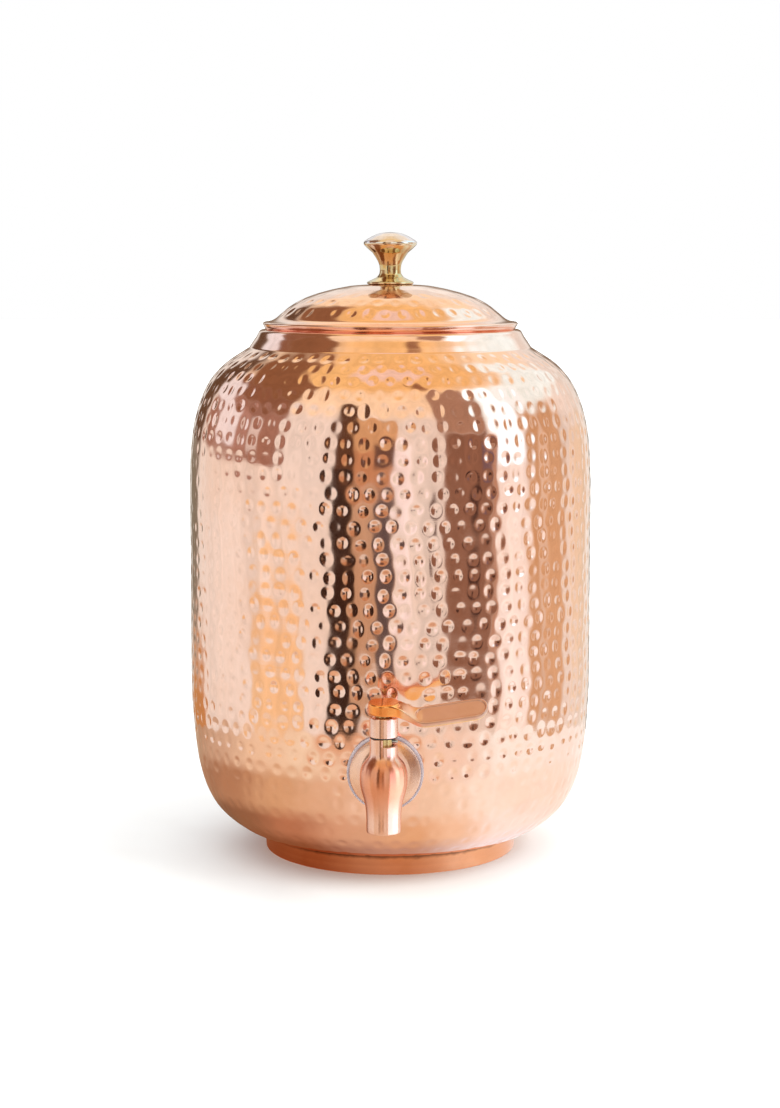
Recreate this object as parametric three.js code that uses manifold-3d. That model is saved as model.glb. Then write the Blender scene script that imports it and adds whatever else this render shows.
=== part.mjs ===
// Hammered copper water dispenser with a quarter-turn lever tap.
// Millimetres, +Z up, front towards -Y, +X to the right. The foot stands on z = 0.
// Every round piece is a revolved profile given as [radius, height] pairs.
import * as THREE from "three";
import * as BufferGeometryUtils from "three/addons/utils/BufferGeometryUtils.js";
import Module from "manifold-3d";

const wasm = await Module();
wasm.setup();

// ---------------------------------------------------------------- driving sizes
const SIDES = 48; // facets round the pot and the lid
const FINE = 24; // facets round the tap and the knob

const BODY_R = 102.9; // widest radius of the pot
const SHEET = 1.0; // copper sheet of the pot
const BOTTOM_Z = 9.5; // underside of the pot above the table
const TAP_REACH = 130.0; // from the pot's axis to the tap's vertical axis
const BULB_R = 11.1; // widest radius of the tap
const AXIS_Y = (TAP_REACH + BULB_R - BODY_R) / 2; // the pot's axis, with the box centred on y = 0
const TAP_Y = AXIS_Y - TAP_REACH;

const BASE_SEAM = 33.2; // height of the joint between base pan and wall
const SHOULDER_SEAM = 205.0; // height of the joint between wall and shoulder
const SEAM_GAP = 0.3;

const MOUTH_R = 65.3; // centre circle of the curled mouth
const MOUTH_Z = 263.4;
const CURL_R = 2.3; // outside of the curl
const CURL_IN = 1.45; // inside of the curl, clear of the wire
const WIRE_R = 1.3;

const FOOT_R = 64.0;
const FOOT_H = 9.3;

const TAP_Z = 59.5; // height of the tap's horizontal barrel
const TAIL_R = 7.8; // threaded tail through the wall
const TAIL_HOLE_R = 8.3;
const BORE_R = 5.0; // water way in the tail
const CHAMBER_R = 6.3; // plug chamber and spout bore
const PLUG_R = 6.05;
const STEM_R = 3.9;
const STEM_BORE_R = 4.2;
const NECK_R = 6.45;
const NECK_TOP = 82.0;
const NOTCH_Z = 78.6; // floor of the stop notch
const NOTCH_FROM = -94; // degrees from +X, anticlockwise seen from above
const NOTCH_TO = 24;
const PIN_AT = 10; // the stop pin when the tap is closed
const SPOUT_Z = 38.0;
const COLLAR_Z = [82.7, 91.6];
const COLLAR_R = 6.6;
const STEM_TOP = 97.2;
const LEVER_REACH = 48.0;

const LID_TOP = 288.6;
const KNOB_SEAT = 288.8;
const KNOB_TOP = 315.4;

// ---------------------------------------------------------------- helpers
const at = (g, x, y, z) => g.translate(x, y, z);

// a revolved solid about +Z; an open profile runs from axis to axis, a ring's closes on itself
function turned(profile, sides = FINE) {
  const points = profile.map(([r, z]) => new THREE.Vector2(r, z));
  const onAxis = profile[0][0] === 0 && profile[profile.length - 1][0] === 0;
  if (!onAxis) points.push(points[0].clone());
  return new THREE.LatheGeometry(points, sides).rotateX(Math.PI / 2);
}

const ring = (r0, r1, z0, z1, sides = FINE) =>
  turned([[r0, z0], [r1, z0], [r1, z1], [r0, z1]], sides);

const rod = (r, z0, z1, sides = FINE) =>
  turned([[0, z0], [r, z0], [r, z1], [0, z1]], sides);

// a ring of round section
function hoop(R, r, z, around, sides = FINE) {
  const p = [];
  for (let i = 0; i < around; i++) {
    const a = (2 * Math.PI * i) / around;
    p.push([R + r * Math.cos(a), z + r * Math.sin(a)]);
  }
  return turned(p, sides);
}

// turns a solid made along +Z so that it points along -Y, out of the pot's front
const facing = (g) => g.rotateX(Math.PI / 2);

function solid(geometry) {
  let g = geometry.clone();
  g.deleteAttribute("normal");
  g.deleteAttribute("uv");
  g = BufferGeometryUtils.mergeVertices(g, 1e-4);
  const pos = g.attributes.position;
  const src = g.index.array;
  const tri = [];
  let volume = 0;
  const a = new THREE.Vector3(), b = new THREE.Vector3(), c = new THREE.Vector3();
  for (let i = 0; i < src.length; i += 3) {
    const [p, q, r] = [src[i], src[i + 1], src[i + 2]];
    if (p === q || q === r || r === p) continue;
    tri.push(p, q, r);
    a.fromBufferAttribute(pos, p);
    b.fromBufferAttribute(pos, q);
    c.fromBufferAttribute(pos, r);
    volume += a.dot(b.cross(c));
  }
  if (volume < 0)
    for (let i = 0; i < tri.length; i += 3) [tri[i], tri[i + 1]] = [tri[i + 1], tri[i]];
  return new wasm.Manifold(
    new wasm.Mesh({
      numProp: 3,
      vertProperties: new Float32Array(pos.array),
      triVerts: new Uint32Array(tri),
    }),
  );
}

function geometryOf(manifold) {
  const m = manifold.getMesh();
  const g = new THREE.BufferGeometry();
  g.setAttribute("position", new THREE.BufferAttribute(new Float32Array(m.vertProperties), 3));
  g.setIndex(new THREE.BufferAttribute(new Uint32Array(m.triVerts), 1));
  g.computeVertexNormals();
  return g;
}

const materials = {
  copper: { color: 0xc9784f, roughness: 0.16, metalness: 1.0 },
  lining: { color: 0xc07a55, roughness: 0.3, metalness: 1.0 },
  plated: { color: 0xd79a80, roughness: 0.26, metalness: 1.0 },
  brass: { color: 0xc59a4c, roughness: 0.22, metalness: 1.0 },
  steel: { color: 0x9a9a98, roughness: 0.35, metalness: 1.0 },
  silicone: { color: 0xd9dbe4, roughness: 0.45, metalness: 0.0 },
  rubber: { color: 0x1c1b1a, roughness: 0.7, metalness: 0.0 },
};

const object = new THREE.Group();
function piece(name, shape, look) {
  const manifold = shape instanceof THREE.BufferGeometry ? solid(shape) : shape;
  const mesh = new THREE.Mesh(geometryOf(manifold), new THREE.MeshStandardMaterial(materials[look]));
  mesh.name = name;
  object.add(mesh);
}

// the profile moved to its other side by the sheet's thickness
function inside(profile, t) {
  return profile.map(([r, z], i) => {
    const [r0, z0] = profile[Math.max(i - 1, 0)];
    const [r1, z1] = profile[Math.min(i + 1, profile.length - 1)];
    const l = Math.hypot(r1 - r0, z1 - z0);
    return [r - (t * (z1 - z0)) / l, z + (t * (r1 - r0)) / l];
  });
}

// ---------------------------------------------------------------- the pot
// outside of the pot from the foot up to the neck, as measured
const WALL = [
  [66.0, 9.6], [72.4, 10.9], [78.3, 14.1], [84.3, 18.4], [90.1, 23.8], [95.2, 33.2], [98.5, 45.0],
  [100.4, 57.0], [101.6, 70.0], [102.3, 84.0], [102.5, 110.0], [102.6, 158.0], [BODY_R, 188.0],
  [102.3, 205.0], [101.0, 216.2], [98.6, 226.4], [94.6, 236.5], [90.4, 243.0], [84.6, 248.9],
  [78.4, 252.8], [72.3, 256.5], [70.4, 259.4], [68.6, 262.0],
];
const arc = (r, from, to, n) =>
  Array.from({ length: n + 1 }, (_, i) => {
    const a = ((from + ((to - from) * i) / n) * Math.PI) / 180;
    return [MOUTH_R + r * Math.cos(a), MOUTH_Z + r * Math.sin(a)];
  });
// the inside of the sheet, from the bottom up, with fewer points than the outside
const LINING = inside(WALL, SHEET).filter((p, i) => ![5, 9, 12, 16].includes(i));
LINING[LINING.length - 1] = [67.4, 261.9];
const shellProfile = [
  [0, BOTTOM_Z],
  ...WALL,
  ...arc(CURL_R, 4, 240, 6),
  ...arc(CURL_IN, 240, -14, 6),
  ...LINING.slice().reverse(),
  [0, BOTTOM_Z + SHEET],
];
// the pot is brazed up from a base pan, a wall and a spun shoulder, butted edge to edge
const pot = solid(at(turned(shellProfile, SIDES), 0, AXIS_Y, 0));
const tailHole = solid(at(facing(rod(TAIL_HOLE_R, 60, 120, 24)), 0, AXIS_Y, TAP_Z));
const band = (z0, z1) => solid(at(rod(150, z0, z1, 12), 0, AXIS_Y, 0));
piece("vessel_base", pot.intersect(band(0, BASE_SEAM - SEAM_GAP / 2)), "copper");
piece(
  "vessel_wall",
  pot.intersect(band(BASE_SEAM + SEAM_GAP / 2, SHOULDER_SEAM - SEAM_GAP / 2)).subtract(tailHole),
  "copper",
);
piece("vessel_shoulder", pot.intersect(band(SHOULDER_SEAM + SEAM_GAP / 2, 300)), "copper");

piece("mouth_wire", at(hoop(MOUTH_R, WIRE_R, MOUTH_Z, 6, SIDES), 0, AXIS_Y, 0), "steel");

piece(
  "foot_ring",
  at(
    turned(
      [
        [FOOT_R, 0], [FOOT_R + 0.3, 4.5], [FOOT_R + 1.2, FOOT_H], [FOOT_R + 0.1, FOOT_H],
        [FOOT_R - 0.9, 4.5], [FOOT_R - 1.2, 1.3], [FOOT_R - 6, 1.3], [FOOT_R - 6, 0],
      ],
      SIDES,
    ),
    0, AXIS_Y, 0,
  ),
  "copper",
);

// ---------------------------------------------------------------- the lid
const LID = [
  [12, LID_TOP - 0.05], [20, 288.0], [29.6, 286.2], [38.1, 283.9], [44, 281.7], [48.3, 279.5],
  [52.4, 276.8], [55.5, 274.2], [57.6, 272.2], [59.2, 270.8], [60.3, 270.35],
];
const lidUnder = [
  [60.1, 269.35], [58.4, 270.2], [56.8, 271.6], [54.7, 273.5], [51.7, 275.9],
  [47.7, 278.6], [37.7, 282.9], [29.4, 285.2], [19.9, 287.0], [12, 287.55],
];
const lidDome = turned([[2.9, LID_TOP], ...LID, ...lidUnder, [2.9, 287.6]], SIDES);
piece("lid_dome", at(lidDome, 0, AXIS_Y, 0), "copper");
// the rim is a folded ring brazed round the dome's foot: a brim, its tip, and a band that
// slants down into the mouth
const lidRim = turned(
  [
    [60.6, 270.2], [61.4, 269.95], [64.6, 269.5], [65.4, 268.9], [65.1, 268.1],
    [61.95, 262.6], [61.0, 262.6], [63.7, 268.5], [60.6, 269.15],
  ],
  SIDES,
);
piece("lid_rim", at(lidRim, 0, AXIS_Y, 0), "copper");
piece(
  "lid_skirt",
  at(turned([[59.6, 252.0], [60.5, 252.0], [60.5, 268.7], [59.6, 268.7]], SIDES), 0, AXIS_Y, 0),
  "lining",
);

const KNOB = [
  [11.6, KNOB_SEAT], [12.2, 289.3], [11.9, 289.9], [9.2, 291.1], [6.9, 292.3], [5.6, 294.0],
  [5.35, 296.0], [5.6, 298.6], [6.4, 300.6], [7.6, 302.6], [9.1, 304.9], [11.5, 306.9],
  [13.5, 308.9], [13.8, 310.0], [13.3, 310.8], [11.6, 311.9], [9.0, 313.4], [5.6, 314.8],
];
piece(
  "lid_knob",
  at(
    turned([
      [0, 301.0], [2.5, 301.0], [2.5, KNOB_SEAT], ...KNOB, [0, KNOB_TOP],
    ]),
    0, AXIS_Y, 0,
  ),
  "brass",
);
piece(
  "knob_screw",
  at(
    turned(
      [[0, 282.2], [3.4, 282.2], [4.5, 283.2], [4.5, 284.6], [2.3, 284.6], [2.3, 300.5], [0, 300.5]],
      20,
    ),
    0, AXIS_Y, 0,
  ),
  "steel",
);
piece("knob_washer", at(ring(2.7, 6.2, 286.3, 287.4, 20), 0, AXIS_Y, 0), "steel");
// a split ring, open towards the back
const springGap = at(new THREE.BoxGeometry(0.8, 6, 4), 0, 4.2, 285.5);
piece(
  "knob_spring_washer",
  solid(ring(2.7, 4.4, 284.9, 286.0, 20)).subtract(solid(springGap)).translate([0, AXIS_Y, 0]),
  "steel",
);

// ---------------------------------------------------------------- the tap, fixed pieces
// pieces on the horizontal barrel: heights are distances from the pot's axis
const onBarrel = (g) => at(facing(g), 0, AXIS_Y, TAP_Z);

// the pot's wall, grown a little each way, gives the gaskets their curved faces
const wallCore = (grow) => {
  const p = WALL.map(([r, z]) => [r + grow, z]).slice(0, 18);
  return solid(
    at(turned([[0, p[0][1]], ...p, [0, p[p.length - 1][1]]], SIDES), 0, AXIS_Y, 0),
  );
};
piece(
  "tap_outer_gasket",
  solid(onBarrel(ring(TAIL_HOLE_R, 18.2, 90, 103.7, 32))).subtract(wallCore(0.15)),
  "silicone",
);
piece(
  "tap_escutcheon",
  onBarrel(
    turned(
      [
        [8.2, 106.2], [10.6, 106.2], [13.6, 105.2], [15.6, 104.0], [16.6, 103.9], [17.0, 104.3],
        [16.6, 104.9], [15.8, 105.1], [13.9, 106.2], [10.9, 107.3], [8.2, 107.3],
      ],
      32,
    ),
  ),
  "plated",
);

const tapOutside = [
  [CHAMBER_R, SPOUT_Z], [7.1, SPOUT_Z], [7.75, 38.5], [8.05, 39.6], [8.05, 45.0], [8.25, 48.4],
  [8.7, 51.4], [9.45, 54.4], [10.4, 57.4], [11.0, 60.5], [BULB_R, 63.2], [11.0, 65.8],
  [10.5, 68.2], [9.7, 70.0], [8.5, 71.5], [7.2, 72.7], [6.6, 73.7], [NECK_R, 74.8],
  [NECK_R, NECK_TOP],
];
const barrel = solid(
  onBarrel(turned([[0, 107.6], [9.6, 107.6], [10.0, 108.2], [9.3, 112], [9.3, 126], [0, 126]], 24)),
);
const tail = solid(onBarrel(rod(TAIL_R, 83.5, 110, 24)));
const column = solid(
  at(
    turned([[0, SPOUT_Z], ...tapOutside.slice(1), [0, NECK_TOP]]),
    0, TAP_Y, 0,
  ),
);
const stemWay = solid(at(rod(STEM_BORE_R, 60, 95), 0, TAP_Y, 0));
const chamber = solid(at(rod(CHAMBER_R, 30, 70), 0, TAP_Y, 0));
const inlet = solid(onBarrel(rod(BORE_R, 80, 129, 16)));
// the notch is a sector of the neck's wall
const sector = new THREE.Shape();
const rad = Math.PI / 180;
for (let i = 0; i <= 12; i++) {
  const a = (NOTCH_FROM + ((NOTCH_TO - NOTCH_FROM) * i) / 12) * rad;
  sector[i ? "lineTo" : "moveTo"](9 * Math.cos(a), 9 * Math.sin(a));
}
for (let i = 12; i >= 0; i--) {
  const a = (NOTCH_FROM + ((NOTCH_TO - NOTCH_FROM) * i) / 12) * rad;
  sector.lineTo(3 * Math.cos(a), 3 * Math.sin(a));
}
sector.closePath();
const notch = solid(
  at(new THREE.ExtrudeGeometry(sector, { depth: 6, bevelEnabled: false, steps: 1 }), 0, TAP_Y, NOTCH_Z),
);
piece(
  "tap_body",
  column.add(barrel).add(tail).subtract(stemWay).subtract(chamber).subtract(inlet).subtract(notch),
  "plated",
);

const wallHollow = (() => {
  const p = LINING.map(([r, z]) => [r - 0.15, z]).slice(1, 14);
  return solid(
    at(turned([[0, p[0][1]], ...p, [0, p[p.length - 1][1]]], SIDES), 0, AXIS_Y, 0),
  );
})();
piece(
  "tap_inner_gasket",
  solid(onBarrel(ring(TAIL_HOLE_R - 0.2, 15.0, 95.6, 106, 28))).intersect(wallHollow),
  "silicone",
);
piece("tap_inner_washer", onBarrel(ring(8.1, 14.0, 93.9, 95.3)), "steel");
const hexagon = new THREE.Shape();
for (let i = 0; i < 6; i++) {
  const a = (i * Math.PI) / 3;
  hexagon[i ? "lineTo" : "moveTo"](13.6 * Math.cos(a), 13.6 * Math.sin(a));
}
hexagon.closePath();
const nut = solid(onBarrel(at(new THREE.ExtrudeGeometry(hexagon, { depth: 6, bevelEnabled: false }), 0, 0, 87.6)));
piece("tap_lock_nut", nut.subtract(solid(onBarrel(rod(8.05, 80, 100, 24)))), "brass");
piece("stem_friction_washer", at(ring(STEM_BORE_R, 6.2, 82.12, 82.5, 24), 0, TAP_Y, 0), "rubber");

// ---------------------------------------------------------------- the tap, turning pieces
const plugOutside = turned([
  [0, 50.6], [PLUG_R, 50.6],
  [PLUG_R, 52.0], [5.2, 52.0], [5.2, 53.4], [PLUG_R, 53.4],
  [PLUG_R, 65.8], [5.2, 65.8], [5.2, 67.2], [PLUG_R, 67.2],
  [PLUG_R, 69.6], [STEM_R, 69.6],
  [STEM_R, 73.6], [3.0, 73.6], [3.0, 75.0], [STEM_R, 75.0],
  [STEM_R, STEM_TOP - 0.4], [STEM_R - 0.4, STEM_TOP], [0, STEM_TOP],
], 24);
const plugWay = rod(4.1, 45, 64.5, 20);
// the side port faces -X when the lever is closed, and turns to the inlet when it opens
const plugPort = at(rod(3.6, 0, 12, 16).rotateY(-Math.PI / 2), 0, 0, TAP_Z);
const pinHole = at(rod(0.95, -8, 8, 12).rotateY(Math.PI / 2).rotateZ(PIN_AT * rad), 0, 0, 80.2);
piece(
  "valve_plug",
  solid(plugOutside)
    .subtract(solid(plugWay)).subtract(solid(plugPort)).subtract(solid(pinHole))
    .translate([0, TAP_Y, 0]),
  "brass",
);
piece("plug_lower_o_ring", at(hoop(5.74, 0.5, 52.7, 6, 24), 0, TAP_Y, 0), "rubber");
piece("plug_upper_o_ring", at(hoop(5.74, 0.5, 66.5, 6, 24), 0, TAP_Y, 0), "rubber");
piece("stem_o_ring", at(hoop(3.6, 0.5, 74.3, 6, 24), 0, TAP_Y, 0), "rubber");
piece(
  "stop_pin",
  at(rod(0.8, -3.4, 6.5, 12).rotateY(Math.PI / 2).rotateZ(PIN_AT * rad), 0, TAP_Y, 80.2),
  "steel",
);
piece(
  "lever_collar",
  at(
    turned([
      [4.1, COLLAR_Z[0]], [COLLAR_R, COLLAR_Z[0]], [COLLAR_R, COLLAR_Z[1] - 0.5],
      [COLLAR_R - 0.5, COLLAR_Z[1]], [5.3, COLLAR_Z[1]], [5.0, COLLAR_Z[1] - 0.8],
      [4.1, COLLAR_Z[1] - 0.8],
    ]),
    0, TAP_Y, 0,
  ),
  "plated",
);

// The lever is a twisted bar: stations along +X, each a rounded section.
// [x, width, thickness, height of the middle, tilt of the face's normal above level, degrees]
const BOSS_R = 7.1;
const boss = (x) => 2 * Math.sqrt(Math.max(BOSS_R * BOSS_R - x * x, 0.3));
const TIP_R = 5.9;
const tip = (x) => 2 * Math.sqrt(Math.max(TIP_R * TIP_R - (x - (LEVER_REACH - TIP_R)) ** 2, 0.6));
const rise = (x) => 91.4 + (x - 17) * 0.155;
const stations = [
  [-7.08, boss(-7.08), 3.4, 96.1, 84], [-6.6, boss(-6.6), 4.4, 96.1, 84], [-5.2, boss(-5.2), 5.0, 96.1, 84],
  [-2.8, boss(-2.8), 5.2, 96.1, 84], [0, boss(0), 5.2, 96.1, 84], [3, boss(3), 5.2, 96.0, 83],
  [5.4, 11.2, 5.0, 95.7, 81], [7.8, 9.8, 4.7, 95.0, 76], [10.4, 9.0, 4.2, 93.9, 69], [13, 8.8, 3.7, 92.6, 62],
  [15.4, 9.6, 3.3, 91.7, 57], [17.6, 10.8, 3.1, rise(17.6), 55], [20.4, 11.6, 3.0, rise(20.4), 55],
  [24, 11.8, 3.0, rise(24), 55], [42.1, 11.8, 3.0, rise(42.1), 55],
  [44.6, tip(44.6), 3.0, rise(44.6), 55], [46.4, tip(46.4), 2.9, rise(46.4), 55],
  [47.5, tip(47.5), 2.7, rise(47.5), 55], [LEVER_REACH, tip(LEVER_REACH), 2.2, rise(LEVER_REACH), 55],
];
const AROUND = 16;
function leverBar() {
  const vertices = [], index = [];
  for (const [x, w, t, z, tiltDeg] of stations) {
    const a = tiltDeg * rad;
    const c = Math.min(w, t) * 0.36; // corner radius
    for (let k = 0; k < AROUND; k++) {
      const q = Math.floor(k / 4), f = (q * 90 + (k % 4) * 30) * rad;
      const sx = q === 0 || q === 3 ? 1 : -1, sy = q < 2 ? 1 : -1;
      const u = sx * (w / 2 - c) + c * Math.cos(f);
      const v = sy * (t / 2 - c) + c * Math.sin(f);
      // u runs down and to the front along the face, v out of it
      vertices.push(x, -u * Math.sin(a) - v * Math.cos(a), z - u * Math.cos(a) + v * Math.sin(a));
    }
  }
  const last = stations.length - 1;
  for (let s = 0; s < last; s++)
    for (let k = 0; k < AROUND; k++) {
      const a = s * AROUND + k, b = s * AROUND + ((k + 1) % AROUND), c = a + AROUND, d = b + AROUND;
      index.push(a, b, d, a, d, c);
    }
  for (const [s, flip] of [[0, true], [last, false]]) {
    for (let k = 1; k < AROUND - 1; k++) {
      const o = s * AROUND;
      index.push(...(flip ? [o, o + k + 1, o + k] : [o, o + k, o + k + 1]));
    }
  }
  const g = new THREE.BufferGeometry();
  g.setAttribute("position", new THREE.BufferAttribute(new Float32Array(vertices), 3));
  g.setIndex(index);
  return g;
}
// the blank label panel, sunk 0.4 mm into the paddle's face
const panel = new THREE.Shape();
const PANEL_L = 23.5, PANEL_R = 4.4;
for (const [cx, from] of [[PANEL_L / 2, -90], [-PANEL_L / 2, 90]])
  for (let i = 0; i <= 8; i++) {
    const a = (from + i * 22.5) * rad;
    const p = [cx + PANEL_R * Math.cos(a), PANEL_R * Math.sin(a)];
    panel[cx > 0 && i === 0 ? "moveTo" : "lineTo"](...p);
  }
panel.closePath();
const panelCut = new THREE.ExtrudeGeometry(panel, { depth: 3, bevelEnabled: false });
{
  // the panel's own x runs along the paddle, its z out of the face
  const slope = Math.atan(0.155);
  const along = new THREE.Vector3(Math.cos(slope), 0, Math.sin(slope));
  const t = 55 * rad;
  const out = new THREE.Vector3(0, -Math.cos(t), Math.sin(t));
  const across = new THREE.Vector3().crossVectors(out, along).normalize();
  out.crossVectors(along, across).normalize();
  const m = new THREE.Matrix4().makeBasis(along, across, out);
  const middle = 31.0;
  const face = new THREE.Vector3(middle, 0, rise(middle)).addScaledVector(out, 1.5 * 0.995 - 0.4);
  m.setPosition(face);
  panelCut.applyMatrix4(m);
}
const leverBore = solid(rod(4.1, 80, 97.5, 24));
const screwWay = solid(at(rod(1.25, 3, 12, 12).rotateX(-Math.PI / 2), 0, 0, 96.2));
piece(
  "tap_lever",
  solid(leverBar()).subtract(solid(panelCut)).subtract(leverBore).subtract(screwWay)
    .translate([0, TAP_Y, 0]),
  "plated",
);
piece(
  "lever_grub_screw",
  at(rod(1.05, 4.15, 6.4, 12).rotateX(-Math.PI / 2), 0, TAP_Y, 96.2),
  "steel",
);

export default object;
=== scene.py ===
import math
from itertools import product

import bpy
import numpy as np
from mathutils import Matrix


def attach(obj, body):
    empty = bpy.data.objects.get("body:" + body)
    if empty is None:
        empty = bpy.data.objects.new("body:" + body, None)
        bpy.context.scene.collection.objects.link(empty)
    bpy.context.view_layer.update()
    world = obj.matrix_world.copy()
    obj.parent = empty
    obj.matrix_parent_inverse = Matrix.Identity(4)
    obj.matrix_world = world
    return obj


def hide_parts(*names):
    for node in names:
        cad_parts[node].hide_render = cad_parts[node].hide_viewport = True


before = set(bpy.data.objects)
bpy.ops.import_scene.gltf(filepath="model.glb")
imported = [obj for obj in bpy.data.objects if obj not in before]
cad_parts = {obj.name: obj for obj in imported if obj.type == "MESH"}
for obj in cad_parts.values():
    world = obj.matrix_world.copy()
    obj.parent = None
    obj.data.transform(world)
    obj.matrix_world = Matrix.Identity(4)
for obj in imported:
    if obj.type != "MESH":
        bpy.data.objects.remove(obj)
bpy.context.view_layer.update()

# ---------------------------------------------------------------- sizes, as in the CAD model
AXIS_Y = 19.1          # the pot's axis
TAP_Y = -110.9         # the tap's vertical axis
TAP_Z = 59.5           # height of the tap's barrel
SHEET = 1.0
MOUTH_R, MOUTH_Z = 65.3, 263.4
CURL_R, CURL_IN = 2.3, 1.45
FOOT_R, FOOT_H = 64.0, 9.3
RISE = 0.155           # slope of the lever's paddle
LEAN = math.radians(55)  # tilt of the paddle's face out of the horizontal

WALL = [
    (66.0, 9.6), (72.4, 10.9), (78.3, 14.1), (84.3, 18.4), (90.1, 23.8), (95.2, 33.2), (98.5, 45.0),
    (100.4, 57.0), (101.6, 70.0), (102.3, 84.0), (102.5, 110.0), (102.6, 158.0), (102.9, 188.0),
    (102.3, 205.0), (101.0, 216.2), (98.6, 226.4), (94.6, 236.5), (90.4, 243.0), (84.6, 248.9),
    (78.4, 252.8), (72.3, 256.5),
]
NECK = [(72.3, 256.5), (70.4, 259.4), (68.6, 262.0)]

rng = np.random.default_rng(20)


# ---------------------------------------------------------------- curves
def resample(p, step):
    p = np.asarray(p, float)
    s = np.r_[0, np.cumsum(np.hypot(*np.diff(p, axis=0).T))]
    n = max(2, int(round(s[-1] / step)) + 1)
    t = np.linspace(0, s[-1], n)
    return np.c_[np.interp(t, s, p[:, 0]), np.interp(t, s, p[:, 1])]


def faired(p, sigma, step):
    """An open outline with its corners eased over about sigma; the ends stay."""
    fine = resample(p, 0.1)
    k = min(int(4 * sigma / 0.1), len(fine) - 1)
    ext = np.vstack([2 * fine[0] - fine[k:0:-1], fine, 2 * fine[-1] - fine[-2:-k - 2:-1]])
    w = np.exp(-0.5 * (np.arange(-k, k + 1) * 0.1 / sigma) ** 2)
    w /= w.sum()
    out = np.c_[np.convolve(ext[:, 0], w, "valid"), np.convolve(ext[:, 1], w, "valid")]
    return resample(out, step)


def eased(points, radius=0.3, step=0.5, closed=True, n=4):
    """A cornered outline whose corners are small arcs."""
    p = [np.array(q, float) for q in points]
    out = []
    m = len(p)
    for i in range(m):
        if not closed and i in (0, m - 1):
            out.append(p[i])
            continue
        a, c, b = p[i - 1], p[i], p[(i + 1) % m]
        la, lb = np.linalg.norm(a - c), np.linalg.norm(b - c)
        t = min(radius, 0.45 * la, 0.45 * lb)
        p0, p1 = c + (a - c) / la * t, c + (b - c) / lb * t
        for q in np.linspace(0, 1, n + 1):
            out.append((1 - q) ** 2 * p0 + 2 * q * (1 - q) * c + q * q * p1)
    # long stretches get their own points
    dense = []
    for i in range(len(out) - (0 if closed else 1)):
        a, b = out[i], out[(i + 1) % len(out)]
        k = max(1, int(math.ceil(np.linalg.norm(b - a) / step)))
        dense += [a + (b - a) * j / k for j in range(k)]
    if not closed:
        dense.append(out[-1])
    return np.array(dense)


def arc(cr, cz, r, a0, a1, n):
    a = np.radians(np.linspace(a0, a1, n))
    return np.c_[cr + r * np.cos(a), cz + r * np.sin(a)]


# ---------------------------------------------------------------- meshes
def add_mesh(name, co, quads=(), tris=(), uv=None):
    co = np.asarray(co, float) * 0.001
    quads = np.asarray(quads, np.int32).reshape(-1, 4)
    tris = np.asarray(tris, np.int32).reshape(-1, 3)
    me = bpy.data.meshes.new(name)
    me.vertices.add(len(co))
    me.vertices.foreach_set("co", co.astype(np.float32).ravel())
    loops = np.concatenate([quads.ravel(), tris.ravel()]).astype(np.int32)
    me.loops.add(len(loops))
    me.loops.foreach_set("vertex_index", loops)
    starts = np.concatenate([np.arange(len(quads)) * 4, len(quads) * 4 + np.arange(len(tris)) * 3])
    me.polygons.add(len(starts))
    me.polygons.foreach_set("loop_start", starts.astype(np.int32))
    me.polygons.foreach_set("use_smooth", np.ones(len(starts), bool))
    if uv is not None:
        layer = me.uv_layers.new(name="OFBake")
        layer.data.foreach_set("uv", np.asarray(uv, np.float32).ravel())
    me.update(calc_edges=True)
    me.validate()
    ob = bpy.data.objects.new(name, me)
    bpy.context.scene.collection.objects.link(ob)
    return ob


def ring_quads(j0, j1, n):
    """Quads between two rings of n points that start at j0 and j1."""
    i = np.arange(n)
    k = (i + 1) % n
    return np.c_[j0 + i, j0 + k, j1 + k, j1 + i]


def ring_uv(v0, v1, n):
    i = np.arange(n) / n
    k = (np.arange(n) + 1) / n
    z0, z1 = np.full(n, v0), np.full(n, v1)
    return np.stack([np.c_[i, z0], np.c_[k, z0], np.c_[k, z1], np.c_[i, z1]], 1).reshape(-1, 2)


def lathe(name, outline, n, to=lambda c: c):
    """An outline of (radius, height) turned about its axis: a closed ring, or a solid if it starts
    and ends on the axis."""
    p = np.asarray(outline, float)
    x, y = p[:, 0], p[:, 1]
    if np.sum(x * np.roll(y, -1) - np.roll(x, -1) * y) < 0:
        p = p[::-1]
    poles = p[0, 0] < 1e-6 and p[-1, 0] < 1e-6
    body = p[1:-1] if poles else p
    a = 2 * math.pi * np.arange(n) / n
    co = np.stack([
        body[:, :1] * np.cos(a), body[:, :1] * np.sin(a), np.repeat(body[:, 1:], n, 1)
    ], -1).reshape(-1, 3)
    s = np.r_[0, np.cumsum(np.hypot(*np.diff(np.vstack([p, p[:1]]), axis=0).T))]
    s = s / s[-1]
    m = len(body)
    quads, uv, tris, tuv = [], [], [], []
    for j in range(m - 1 if poles else m):
        quads.append(ring_quads(j * n, ((j + 1) % m) * n, n))
        off = 1 if poles else 0
        uv.append(ring_uv(s[j + off], s[j + 1 + off], n))
    if poles:
        i = np.arange(n)
        k = (i + 1) % n
        co = np.vstack([co, [0, 0, p[0, 1]], [0, 0, p[-1, 1]]])
        lowp, highp = m * n, m * n + 1
        tris.append(np.c_[np.full(n, lowp), k, i])
        tuv.append(np.stack([np.c_[(i + .5) / n, np.full(n, 0.)], np.c_[(i + 1) / n, np.full(n, s[1])],
                             np.c_[i / n, np.full(n, s[1])]], 1).reshape(-1, 2))
        b = (m - 1) * n
        tris.append(np.c_[np.full(n, highp), b + i, b + k])
        tuv.append(np.stack([np.c_[(i + .5) / n, np.full(n, 1.)], np.c_[i / n, np.full(n, s[-3])],
                             np.c_[(i + 1) / n, np.full(n, s[-3])]], 1).reshape(-1, 2))
    return add_mesh(name, to(co), np.vstack(quads), np.vstack(tris) if tris else (), np.vstack(uv + tuv))


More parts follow.
